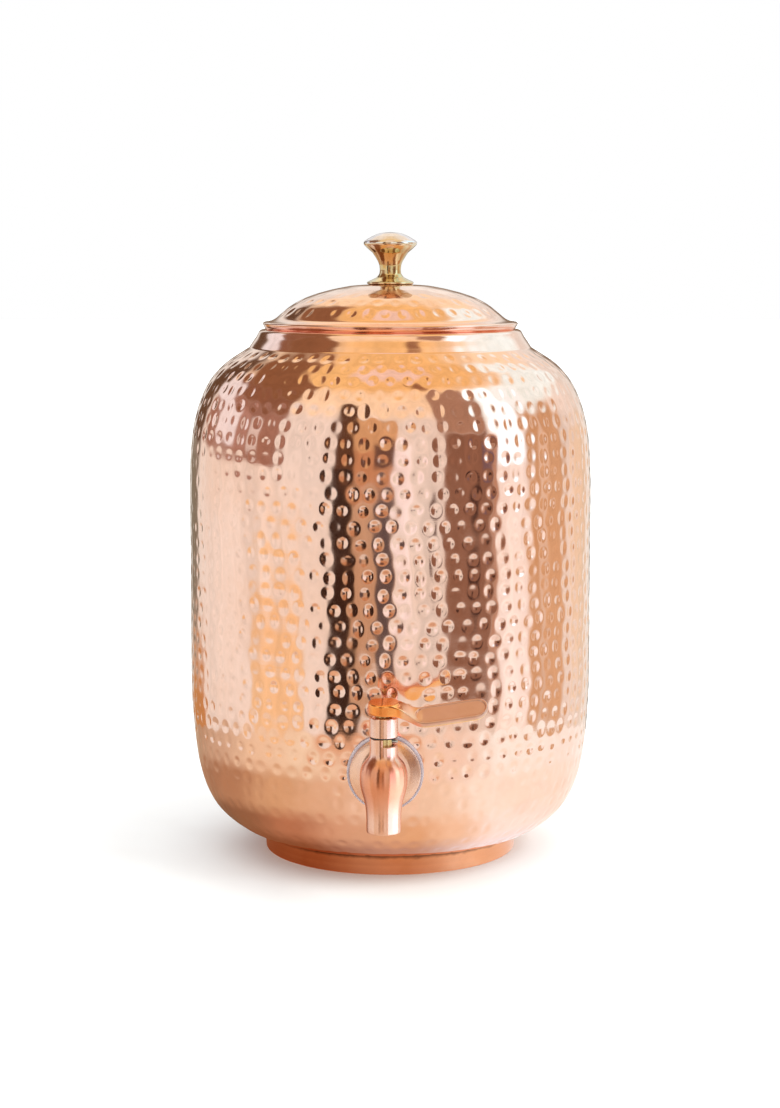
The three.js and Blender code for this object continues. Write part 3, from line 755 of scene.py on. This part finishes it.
KNOB = [
    (11.6, 288.8), (12.2, 289.3), (11.9, 289.9), (9.2, 291.1), (6.9, 292.3), (5.6, 294.0), (5.35, 296.0),
    (5.6, 298.6), (6.4, 300.6), (7.6, 302.6), (9.1, 304.9), (11.5, 306.9), (13.5, 308.9), (13.8, 310.0),
    (13.3, 310.8), (11.6, 311.9), (9.0, 313.4), (5.6, 314.8), (0, 315.4),
]
knob_line = np.vstack([
    eased([(0, 301.0), (2.5, 301.0), (2.5, 288.65), (11.2, 288.65)], 0.2, 0.8, closed=False),
    faired(KNOB, 0.42, 0.3),
])
knob_line[-1, 0] = 0
knob = lathe("turned_knob", knob_line, 160, on_pot)
dress(knob, knob_brass, "lid", "knob_brass", "lid_knob")

screw = lathe("knob_fixing_screw", eased(
    [(0, 283.4), (0.9, 283.4), (0.9, 282.2), (3.2, 282.2), (4.2, 282.7), (4.5, 283.6), (4.5, 284.6),
     (2.3, 284.6), (2.3, 300.5), (0, 300.5)], 0.2, 0.5, closed=False), 64, on_pot)
dress(screw, steel, "lid", "steel", "knob_screw")
washer = lathe("knob_flat_washer", eased(
    [(2.7, 286.3), (6.2, 286.3), (6.2, 287.4), (2.7, 287.4)], 0.2, 0.5), 96, on_pot)
dress(washer, steel, "lid", "steel", "knob_washer")


def spring_field(x, y, z):
    y = y - AXIS_Y
    r = np.hypot(x, y)
    f = soft_max(np.abs(r - 3.55) - 0.85, np.abs(z - 285.45) - 0.55, 0.2)
    gap = np.maximum(np.abs(x - 0.35 * (z - 285.45)) - 0.4, -y)
    return soft_max(f, -gap, 0.15)


spring = grown("split_spring_washer", spring_field, (-4.8, AXIS_Y - 4.8, 284.6), (4.8, AXIS_Y + 4.8, 286.3),
               0.13)
dress(spring, steel, "lid", "steel", "knob_spring_washer")

# ---------------------------------------------------------------- the tap, fixed pieces
wall_r = wall_line[:, 0]
wall_z = wall_line[:, 1]


def pot_radius(z):
    return np.interp(z, wall_z, wall_r)


def barrel_coords(x, y, z):
    """Distance from the barrel's axis, and distance from the pot's axis along it."""
    return np.hypot(x, z - TAP_Z), AXIS_Y - y


def gasket_field(x, y, z):
    q, d = barrel_coords(x, y, z)
    f = soft_max(q - 18.2, 8.3 - q, 0.4)
    f = soft_max(f, d - 103.7, 0.7)
    return soft_max(f, pot_radius(z) + 0.02 - np.hypot(x, y - AXIS_Y), 0.15)


gasket = grown("outer_gasket", gasket_field, (-19, AXIS_Y - 104.5, TAP_Z - 19), (19, AXIS_Y - 96, TAP_Z + 19),
               0.34)
dress(gasket, silicone, "vessel", "silicone", "tap_outer_gasket")

plate = lathe("tap_back_plate", eased([
    (8.2, 106.2), (10.6, 106.2), (13.6, 105.2), (15.6, 104.0), (16.6, 103.8), (17.0, 104.3),
    (16.7, 104.9), (15.8, 105.25), (13.9, 106.2), (12.4, 106.9), (10.9, 107.3), (8.2, 107.3),
], 0.8, 0.35), 192, on_barrel)
dress(plate, plated, "vessel", "copper_plated", "tap_escutcheon")

TAP_SIDE = faired([
    (7.85, 38.0), (8.05, 39.6), (8.05, 45.0), (8.25, 48.4), (8.7, 51.4), (9.45, 54.4), (10.4, 57.4),
    (11.0, 60.5), (11.1, 63.2), (11.0, 65.8), (10.5, 68.2), (9.7, 70.0), (8.5, 71.5), (7.2, 72.7),
    (6.6, 73.7), (6.45, 74.8), (6.45, 82.0),
], 0.9, 0.2)


def tap_field(x, y, z):
    lx, ly = x, y - TAP_Y
    r = np.hypot(lx, ly)
    column = soft_max(0.93 * (r - np.interp(z, TAP_SIDE[:, 1], TAP_SIDE[:, 0])), 38.0 - z, 0.9)
    column = soft_max(column, z - 82.0, 0.35)
    q, d = barrel_coords(x, y, z)
    side = np.interp(d, [107.6, 108.3, 109.2, 112, 126], [9.7, 10.0, 9.75, 9.3, 9.3])
    arm = soft_max(soft_max(q - side, 107.6 - d, 0.5), d - 126, 0.5)
    body = soft_min(column, arm, 2.2)
    # the threaded tail
    turn = np.arctan2(z - TAP_Z, x) / (2 * math.pi)
    groove = 0.42 * (0.5 - 0.5 * np.cos(2 * math.pi * (d / 1.6 + turn)))
    groove = groove * np.clip((d - 84.2) / 1.0, 0, 1) * np.clip((104.5 - d) / 1.0, 0, 1)
    tail = soft_max(soft_max(q - 7.8 + groove, 83.5 - d, 0.8), d - 110, 0.3)
    body = np.minimum(body, tail)
    # water way, plug chamber, stem bore
    body = soft_max(body, -np.maximum(q - 5.0, np.maximum(80 - d, d - 129)), 0.3)
    body = soft_max(body, -np.maximum(r - 6.3, z - 70.0), 0.35)
    body = soft_max(body, -np.maximum(r - 4.2, 60 - z), 0.2)
    # the stop notch in the neck
    a0, a1 = math.radians(-94), math.radians(24)
    s0 = -(math.cos(a0) * ly - math.sin(a0) * lx)
    s1 = ly * math.cos(a1) - lx * math.sin(a1)
    notch = np.maximum(np.maximum(s0, s1), 78.6 - z)
    return soft_max(body, -notch, 0.25)


tap = grown("tap_casting", tap_field, (-12, AXIS_Y - 142.2, 37), (12, AXIS_Y - 82.5, 83), 0.27)
dress(tap, cast_plated, "vessel", "copper_plated", "tap_body")


def inner_gasket_field(x, y, z):
    q, d = barrel_coords(x, y, z)
    f = soft_max(q - 15.0, 8.1 - q, 0.4)
    f = soft_max(f, 95.6 - d, 0.5)
    return soft_max(f, np.hypot(x, y - AXIS_Y) - (pot_radius(z) - SHEET - 0.1), 0.15)


inner_gasket = grown("inner_gasket", inner_gasket_field, (-15.6, AXIS_Y - 104, TAP_Z - 15.6),
                     (15.6, AXIS_Y - 95, TAP_Z + 15.6), 0.4)
dress(inner_gasket, silicone, "vessel", "silicone", "tap_inner_gasket")
nut_washer = lathe("nut_flat_washer", eased(
    [(8.1, 93.9), (14.0, 93.9), (14.0, 95.3), (8.1, 95.3)], 0.25, 0.6), 128, on_barrel)
dress(nut_washer, steel, "vessel", "steel", "tap_inner_washer")


def nut_field(x, y, z):
    q, d = barrel_coords(x, y, z)
    a = np.arctan2(z - TAP_Z, x)
    flat = 13.6 * math.cos(math.pi / 6)
    f = np.full(np.shape(x), -1e3)
    for i in range(6):
        b = math.radians(30 + 60 * i)
        f = np.maximum(f, x * math.cos(b) + (z - TAP_Z) * math.sin(b) - flat)
    f = soft_max(f, np.abs(d - 90.6) - 3.0, 0.25)
    # turned chamfers on the corners
    f = soft_max(f, 0.5 * (q - 13.0) + 0.86 * (np.abs(d - 90.6) - 2.6), 0.2)
    bore = 8.0 - 0.3 * (0.5 - 0.5 * np.cos(2 * math.pi * (d / 1.6 + a / (2 * math.pi))))
    f = soft_max(f, bore - q, 0.2)
    return soft_max(f, 0.7 * (8.9 - q) - 0.7 * (3.0 - np.abs(d - 90.6)), 0.1)


nut = grown("lock_nut", nut_field, (-14.2, AXIS_Y - 94.2, TAP_Z - 14.2), (14.2, AXIS_Y - 87, TAP_Z + 14.2), 0.3)
dress(nut, brass, "vessel", "brass", "tap_lock_nut")
slip = lathe("stem_slip_washer", eased(
    [(4.2, 82.08), (6.3, 82.08), (6.3, 82.55), (4.2, 82.55)], 0.1, 0.5), 96, on_tap)
dress(slip, rubber, "vessel", "black_rubber", "stem_friction_washer")

# ---------------------------------------------------------------- the tap, turning pieces
PLUG_SIDE = np.array([
    (6.05, 50.6), (6.05, 52.0), (5.2, 52.05), (5.2, 53.35), (6.05, 53.4), (6.05, 65.8), (5.2, 65.85),
    (5.2, 67.15), (6.05, 67.2), (6.05, 69.6), (3.9, 69.65), (3.9, 73.6), (3.0, 73.65), (3.0, 74.95),
    (3.9, 75.0), (3.9, 97.2),
])


def plug_field(x, y, z):
    ly = y - TAP_Y
    r = np.hypot(x, ly)
    wide = np.maximum(r - 6.05, np.maximum(50.6 - z, z - 69.6))
    f = soft_min(wide, soft_max(r - 3.9, np.maximum(60 - z, z - 97.2), 0.4), 0.2)
    for depth, z0 in ((5.2, 52.7), (5.2, 66.5), (3.0, 74.3)):
        f = np.maximum(f, -np.maximum(depth - r, np.abs(z - z0) - 0.7))
    f = soft_max(f, -np.maximum(r - 4.1, z - 64.5), 0.2)
    port = np.maximum(np.hypot(ly, z - TAP_Z) - 3.6, x)
    return soft_max(f, -port, 0.3)


plug = grown("turning_plug", plug_field, (-6.7, TAP_Y - 6.7, 50), (6.7, TAP_Y + 6.7, 97.8), 0.3)
dress(plug, brass, "lever", "brass", "valve_plug")

collar = lathe("stem_collar", eased([
    (4.1, 82.7), (6.6, 82.7), (6.6, 91.25), (6.35, 91.6), (5.35, 91.6), (5.0, 90.8), (4.1, 90.8),
], 0.25, 0.45), 160, on_tap)
dress(collar, plated, "lever", "copper_plated", "lever_collar")

pin_turn = math.radians(10)


def pin_place(c):
    # the pin's own axis lies level, turned 10 degrees from +X
    a, b, z = c[:, 2], c[:, 0], c[:, 1]
    return np.c_[a * math.cos(pin_turn) - b * math.sin(pin_turn),
                 TAP_Y + a * math.sin(pin_turn) + b * math.cos(pin_turn), 80.2 + z]


pin = lathe("notch_stop_pin", eased([(0, -3.4), (0.8, -3.4), (0.8, 6.5), (0, 6.5)], 0.2, 0.5, closed=False),
            32, pin_place)
dress(pin, steel, "lever", "steel", "stop_pin")


def station(xs, values, sigma=1.1):
    t = np.arange(-12, 60, 0.1)
    v = np.interp(t, xs, values)
    w = np.exp(-0.5 * (np.arange(-40, 41) * 0.1 / sigma) ** 2)
    w /= w.sum()
    return t, np.convolve(np.pad(v, 40, mode="edge"), w, "valid")


ST_X = [0, 3, 5.4, 7.8, 10.4, 13, 15.4, 17.6, 20.4, 24, 42.1, 50]
ST_W = station(ST_X, [12.6, 12.2, 11.0, 9.7, 8.9, 8.8, 9.6, 10.8, 11.6, 11.8, 11.8, 11.8])
ST_T = station(ST_X, [5.2, 5.2, 5.0, 4.7, 4.2, 3.7, 3.3, 3.1, 3.0, 3.0, 3.0, 2.9])
ST_Z = station(ST_X, [96.1, 96.0, 95.7, 95.0, 93.9, 92.6, 91.7] + [91.4 + (x - 17) * RISE for x in ST_X[7:]])
ST_A = station(ST_X, [84, 83, 81, 76, 69, 62, 57, 55, 55, 55, 55, 55])


def at_station(st, x):
    return np.interp(x, st[0], st[1])


def soft_plate(outline, thick, c):
    """A flat plate with rounded edges from its outline's and its thickness's distances."""
    a, b = outline + c, thick + c
    return np.minimum(np.maximum(a, b), 0) + np.hypot(np.maximum(a, 0), np.maximum(b, 0)) - c


_slope = math.atan(RISE)
_along = np.array([math.cos(_slope), 0, math.sin(_slope)])
_out = np.array([0, -math.cos(LEAN), math.sin(LEAN)])
_across = np.cross(_out, _along)
_across /= np.linalg.norm(_across)
_out = np.cross(_along, _across)


def lever_field(x, y, z):
    ly = y - TAP_Y
    # the boss over the stem
    a = math.radians(84)
    u = -ly * math.sin(a) - (z - 96.1) * math.cos(a)
    v = -ly * math.cos(a) + (z - 96.1) * math.sin(a)
    boss = soft_plate(np.hypot(x, u) - 7.1, np.abs(v) - 2.6, 0.75)
    # the arm and its paddle
    tilt = np.radians(at_station(ST_A, x))
    dz = z - at_station(ST_Z, x)
    u = -ly * np.sin(tilt) - dz * np.cos(tilt)
    v = -ly * np.cos(tilt) + dz * np.sin(tilt)
    side = np.where(x > 42.1, np.hypot(x - 42.1, u) - 5.9, np.abs(u) - at_station(ST_W, x) / 2)
    arm = soft_plate(side, np.abs(v) - at_station(ST_T, x) / 2, 0.8)
    arm = np.maximum(arm, -x)
    f = soft_min(boss, arm, 1.2)
    # the blank panel sunk in the paddle
    px, py, pz = x - 31.0, ly, z - (91.4 + 14.0 * RISE)
    al = px * _along[0] + py * _along[1] + pz * _along[2]
    ac = px * _across[0] + py * _across[1] + pz * _across[2]
    ou = px * _out[0] + py * _out[1] + pz * _out[2]
    panel = soft_max(np.hypot(np.maximum(np.abs(al) - 11.75, 0), ac) - 4.4, 1.07 - ou, 0.15)
    f = soft_max(f, -panel, 0.3)
    # stem bore and the way for the grub screw
    f = soft_max(f, -np.maximum(np.hypot(x, ly) - 4.1, z - 97.5), 0.25)
    return soft_max(f, -np.maximum(np.hypot(x, z - 96.2) - 1.25, 3.0 - ly), 0.2)


lever = grown("lever_handle", lever_field, (-7.8, TAP_Y - 7.8, 86.0), (48.8, TAP_Y + 7.8, 102.5), 0.23, settle=5)
dress(lever, lever_copper(), "lever", "copper_plated", "tap_lever")


def grub_field(x, y, z):
    ly = y - TAP_Y
    q = np.hypot(x, z - 96.2)
    f = soft_max(q - 1.05, np.maximum(4.15 - ly, ly - 6.4), 0.2)
    hexa = np.full(np.shape(x), -1e3)
    for i in range(6):
        b = math.radians(60 * i)
        hexa = np.maximum(hexa, x * math.cos(b) + (z - 96.2) * math.sin(b) - 0.5)
    return np.maximum(f, -np.maximum(hexa, 5.4 - ly))


grub = grown("handle_grub_screw", grub_field, (-1.4, TAP_Y + 3.8, 94.8), (1.4, TAP_Y + 6.8, 97.6), 0.09)
dress(grub, steel, "lever", "steel", "lever_grub_screw")

# ---------------------------------------------------------------- the hidden CAD pieces that stay
for node, look in (("mouth_wire", steel), ("stem_o_ring", rubber), ("plug_upper_o_ring", rubber),
                   ("plug_lower_o_ring", rubber)):
    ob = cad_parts[node]
    if ob.material_slots:
        for slot in ob.material_slots:
            slot.material = look
    else:
        ob.data.materials.append(look)

# ---------------------------------------------------------------- floor
def disc(name, radii, n, z=0.0):
    a = 2 * math.pi * np.arange(n) / n
    co, quads, tris = [], [], []
    for r in radii:
        co.append(np.c_[r * np.cos(a), r * np.sin(a), np.full(n, z)])
    for j in range(len(radii) - 1):
        quads.append(ring_quads(j * n, (j + 1) * n, n)[:, ::-1])
    co = np.vstack(co)
    if radii[0] < 200:
        co = np.vstack([co, [0, 0, z]])
        i = np.arange(n)
        tris = np.c_[np.full(n, len(co) - 1), i, (i + 1) % n]
    ob = add_mesh(name, co, np.vstack(quads) if quads else (), tris)
    return ob


floor_mat, fn, fshader, fwhere = material("pale_floor", Metallic=0.0)
tone = fn.noise(fwhere, 5.0, 3.0, 0.5)
link(fn, fn.mix(tone, (0.87, 0.91, 0.92), (0.89, 0.93, 0.94)), fshader, "Base Color")
link(fn, fn.ramp(fn.noise(fwhere, 40.0, 3.0, 0.5), 0.3, 0.7, 0.65, 0.8), fshader, "Roughness")
floor_near = disc("floor_near", [100, 300, 520], 128)
floor_far = disc("floor_far", [520, 1500, 4000, 9000], 128)
for ob in (floor_near, floor_far):
    ob.data.materials.append(floor_mat)
floor_far.visible_glossy = False
floor_near.visible_glossy = False

# a glowing card on the floor, seen only in the metal: its emitted colour is a painted reflection of the floor, with
# the pot's shadow painted in
card_mat, cn, cshader, cwhere = material("painted_floor_glow", Metallic=0.0, Emission_Strength=1.0)
place = cn.new("ShaderNodeSeparateXYZ", Vector=cwhere)
px, py = place.outputs[0], cn.math("SUBTRACT", AXIS_Y * 0.001, place.outputs[1])
around = cn.math("MULTIPLY", cn.math("ARCTAN2", px, py), 180 / math.pi)
out = cn.math("SQRT", cn.math("ADD", cn.math("MULTIPLY", px, px), cn.math("MULTIPLY", py, py)))


def graded(nodes, value, stops):
    """One colour fading into the next along a value."""
    colour = srgb(*stops[0][1])
    for (v0, _), (v1, c1) in zip(stops, stops[1:]):
        colour = nodes.mix(nodes.ramp(value, v0, v1), colour, srgb(*c1))
    return colour


# painted reflection of the floor round the pot: darker to the left, where the pot's shadow is painted, brighter than
# white to the right
by_foot = graded(cn, around, [(-179, (206, 172, 140)), (-130, (134, 92, 57)), (-95, (128, 86, 52)), (-70, (140, 97, 60)), (-40, (184, 132, 96)),
                              (-10, (222, 188, 154)), (10, (230, 196, 152)), (28, (250, 234, 208)),
                              (50, (266, 276, 280)), (115, (256, 248, 236)), (179, (206, 172, 140))])
middle = graded(cn, around, [(-179, (226, 198, 168)), (-135, (168, 126, 90)), (-110, (160, 118, 82)), (-80, (176, 136, 98)), (-50, (214, 184, 142)),
                             (-27, (224, 196, 161)), (0, (243, 228, 206)), (20, (247, 238, 216)),
                             (45, (262, 272, 268)), (115, (256, 258, 250)), (179, (226, 198, 168))])
far = graded(cn, around, [(-179, (232, 214, 190)), (-130, (178, 148, 116)), (-100, (202, 180, 152)), (-65, (240, 228, 200)),
                          (-40, (243, 238, 212)), (0, (245, 234, 212)), (33, (248, 243, 232)),
                          (60, (256, 282, 286)), (120, (255, 264, 262)), (179, (232, 214, 190))])
front = cn.math("MULTIPLY", cn.ramp(around, -40, -30), cn.math("SUBTRACT", 1.0, cn.ramp(around, 10, 18)))
tint = cn.mix(cn.ramp(out, 0.105, 0.135), by_foot, middle)
tint = cn.mix(cn.ramp(out, 0.18, 0.24), tint, far)
tint = cn.mix(cn.math("MULTIPLY", front, cn.ramp(out, 0.215, 0.29)), tint, srgb(224, 182, 142))
# by the foot it is in the foot's shade
shade = graded(cn, around, [(-179, (204, 168, 140)), (-120, (134, 78, 42)), (-40, (136, 80, 44)),
                            (8, (194, 160, 142)), (50, (254, 258, 266)), (115, (252, 246, 240)),
                            (179, (204, 168, 140))])
tint = cn.mix(cn.ramp(out, 0.066, 0.092), shade, tint)
cloud = cn.ramp(cn.noise(cwhere, 30.0, 3.0, 0.5), 0.3, 0.7, 0.94, 1.04)
link(cn, cn.mix(cloud, (0, 0, 0), tint), cshader, "Emission Color")
link(cn, cn.mix(cloud, (0.01, 0.01, 0.01), (0.03, 0.03, 0.03)), cshader, "Base Color")
link(cn, cn.ramp(cn.noise(cwhere, 40.0, 3.0, 0.5), 0.3, 0.7, 0.7, 0.85), cshader, "Roughness")
card = disc("painted_floor_glow", [100, 220, 322], 96, 0.25)
card.data.materials.append(card_mat)
card.visible_camera = False
card.visible_diffuse = False
card.visible_shadow = False
card.visible_transmission = False

# ---------------------------------------------------------------- studio light
world = bpy.data.worlds.new("studio")
bpy.context.scene.world = world
world.use_nodes = True
w = Nodes(world.node_tree)
way = w.new("ShaderNodeSeparateXYZ", Vector=w.new("ShaderNodeTexCoord").outputs["Generated"])
DEG = 180 / math.pi
azimuth = w.math("MULTIPLY", w.math("ARCTAN2", way.outputs[0], w.math("MULTIPLY", way.outputs[1], -1.0)), DEG)
height = w.math("MULTIPLY", w.math("ARCSINE", way.outputs[2]), DEG)


def rises(angle, at, soft):
    return w.ramp(angle, at - soft, at + soft)


def glowing(strength, r, g, b):
    return tuple(strength * c for c in srgb(r, g, b))


# brightness of the room by height: a warm ceiling, white sides, a warm low part
sky = w.mix(rises(height, 33, 8), srgb(246, 250, 244), glowing(1.12, 250, 238, 206))
sky = w.mix(rises(height, 58, 8), sky, glowing(1.07, 246, 213, 146))
sky = w.mix(rises(height, 78, 3.5), sky, glowing(1.02, 250, 234, 222))
right = w.math("MULTIPLY", rises(azimuth, 56, 9), w.math("SUBTRACT", 1.0, rises(azimuth, 140, 12)))
band = w.math("MULTIPLY", rises(height, 22, 5), w.math("SUBTRACT", 1.0, rises(height, 48, 5)))
sky = w.mix(w.math("MULTIPLY", right, band), sky, srgb(255, 294, 303))
low = w.mix(rises(height, -26, 9), srgb(186, 132, 98), srgb(236, 208, 176))
to_right = w.math("SUBTRACT", rises(azimuth, 50, 14), w.math("MULTIPLY", rises(azimuth, 155, 24), 0.5))
to_right = w.math("ADD", to_right, w.math("MULTIPLY", w.math("SUBTRACT", 1.0, rises(azimuth, -155, 24)), 0.5))
low = w.mix(to_right, low, srgb(250, 248, 244))
sky = w.mix(rises(height, -18, 2.5), low, sky)
# behind the pot, seen only along its outline
behind = w.math("MULTIPLY", rises(w.math("ABSOLUTE", azimuth), 166, 5),
                w.math("SUBTRACT", 1.0, rises(height, 12, 6)))
sky = w.mix(behind, sky, srgb(140, 116, 94))

# cards and openings of the room: azimuth from, to, height from, to, colour, softness
CARDS = [
    (-152, -65, 36, 61, (146, 106, 76), 3.0),    # shelf over the left window
    (-158, -139, -3, 34, (104, 80, 60), 3.0),    # dark frame at the far left
    (-160, -142, -10, -2, (140, 134, 116), 2.0),
    (-130, -65, 26, 38, (146, 106, 82), 2.0),
    (-134, -65, 0.5, 27, (166, 130, 114), 1.5),  # rosy curtain, with a window on its left
    (-104, -92, 3, 22, (184, 150, 138), 1.5),
    (-138, -116, 15, 32, (250, 262, 272), 1.5),
    (-122, -101, 4, 20, (250, 262, 272), 1.5),
    (-90, -82, 4, 20, (228, 226, 224), 1.2),
    (-84, -50, -17, -9, (250, 224, 176), 1.2),   # peach box
    (-160, -132, -17, -10, (206, 152, 96), 2.0),
    (-33, -17, -20, 2, (58, 41, 32), 1.0),       # dark upright
    (-31, -18, 0, 42, (96, 68, 50), 1.5),
    (-20, 3, -13, -4, (210, 181, 149), 1.4),     # tan door
    (-20, 3, -4, 13, (204, 156, 116), 1.4),
    (-20, 6, 10, 31, (220, 184, 138), 2.0),
    (-7, 2.5, -13.5, -4, (98, 88, 88), 1.3),
    (-8, 4, 3, 14, (112, 84, 72), 1.5),
    (4, 13, -9, 12, (268, 272, 276), 1.5),
    (23.5, 27, -8, -4, (96, 74, 66), 0.8),
    (31, 60, -13, 18, (146, 112, 92), 1.2),      # brown panel
    (31, 60, 18, 54, (178, 148, 127), 1.6),
    (47, 52, -9, -2, (64, 44, 40), 0.8),
    (55, 61, -1, 11, (130, 110, 118), 1.2),
    (64, 84, 1, 52, (298, 342, 368), 2.5),       # right window
    (64, 86, -17, 1, (262, 270, 270), 2.5),
    (84, 98, 25, 48, (264, 300, 315), 4.0),
    (131, 149, 22, 56, (255, 292, 300), 4.0),    # the room behind on the right, in the lid
    (60, 64.5, -13, 14, (196, 160, 134), 1.2),
    (87, 97, -17, 25, (212, 178, 136), 3.5),     # tan panel
    (99, 118, -17, 21, (222, 190, 150), 3.5),
    (24, 41, 60, 73, (158, 118, 88), 3.0),
    (128, 150, -12, 5, (240, 229, 204), 4.0),
]
for a0, a1, e0, e1, colour, soft in CARDS:
    inside = w.math("MULTIPLY", rises(azimuth, a0, soft), w.math("SUBTRACT", 1.0, rises(azimuth, a1, soft)))
    level = w.math("MULTIPLY", rises(height, e0, soft), w.math("SUBTRACT", 1.0, rises(height, e1, soft)))
    sky = w.mix(w.math("MULTIPLY", inside, level), sky, srgb(*colour))

# nothing in the room is evenly lit
spot = w.new("ShaderNodeTexCoord").outputs["Generated"]
blotch = w.noise(spot, 5.0, 5.0, 0.6, stretch=(1, 1, 0.45))
streaky = w.noise(spot, 1.0, 3.0, 0.6, stretch=(26, 26, 2.5))
uneven = w.math("ADD", w.ramp(blotch, 0.3, 0.7, -0.09, 0.09), w.ramp(streaky, 0.3, 0.7, -0.10, 0.10))
sky = w.new("ShaderNodeVectorMath", operation="SCALE", i0=sky, Scale=w.math("ADD", 1.0, uneven)).outputs[0]

# the camera and the matt floor see a plain white studio
path = w.new("ShaderNodeLightPath")
seen = w.math("MAXIMUM", path.outputs["Is Camera Ray"], path.outputs["Is Diffuse Ray"])
white = w.mix(path.outputs["Is Diffuse Ray"], (1.0, 1.0, 1.0), (1.42, 1.42, 1.42))
colour = w.mix(seen, sky, white)
glow = w.new("ShaderNodeBackground", Color=colour, Strength=1.0)
w.new("ShaderNodeOutputWorld", Surface=glow.outputs[0])


sun = bpy.data.lights.new("key_light", "SUN")
sun.energy = 1.25
sun.angle = math.radians(32)
sun.color = (1.0, 0.985, 0.96)
key = bpy.data.objects.new("key_light", sun)
bpy.context.scene.collection.objects.link(key)
key.rotation_euler = (math.radians(14), math.radians(48), 0)
key.visible_glossy = False

# two small strips that light only the tap's casting and its collar, one at each side
tap_pieces = bpy.data.collections.new("tap_pieces")
for ob in (tap, collar):
    tap_pieces.objects.link(ob)
for name, bearing, wide, radiance, tone in (("tap_strip_right", 68, 0.072, 1.66, (0.74, 0.73, 1.0)),
                                            ("tap_strip_left", -92, 0.052, 0.36, (0.45, 0.74, 1.0))):
    strip = bpy.data.lights.new(name, "AREA")
    strip.shape = "RECTANGLE"
    strip.size, strip.size_y = wide, 0.080
    strip.energy = radiance * math.pi * wide * 0.080
    strip.color = tone
    lamp = bpy.data.objects.new(name, strip)
    bpy.context.scene.collection.objects.link(lamp)
    b = math.radians(bearing)
    lamp.location = (0.045 * math.sin(b), TAP_Y * 0.001 - 0.045 * math.cos(b), 0.0425)
    lamp.rotation_euler = (math.radians(90), 0, b)
    lamp.visible_camera = False
    lamp.light_linking.receiver_collection = tap_pieces

# ---------------------------------------------------------------- camera
data = bpy.data.cameras.new("photo_camera")
data.sensor_fit = "AUTO"
data.sensor_width = 36.0
data.lens = 36.0 * 2305.3 / 1108.0
data.shift_y = -0.1806
data.clip_start, data.clip_end = 0.05, 60.0
camera = bpy.data.objects.new("photo_camera", data)
bpy.context.scene.collection.objects.link(camera)
camera.location = (0.0277, 0.0191 - 1.1817, 0.3062)
camera.rotation_mode = "XYZ"
camera.rotation_euler = (math.radians(90 - 2.579), 0, math.radians(1.35))
bpy.context.scene.camera = camera

bpy.context.scene.view_settings.view_transform = "Standard"
bpy.context.scene.view_settings.look = "None"
bpy.context.scene.view_settings.exposure = 0.0
bpy.context.scene.view_settings.gamma = 1.0
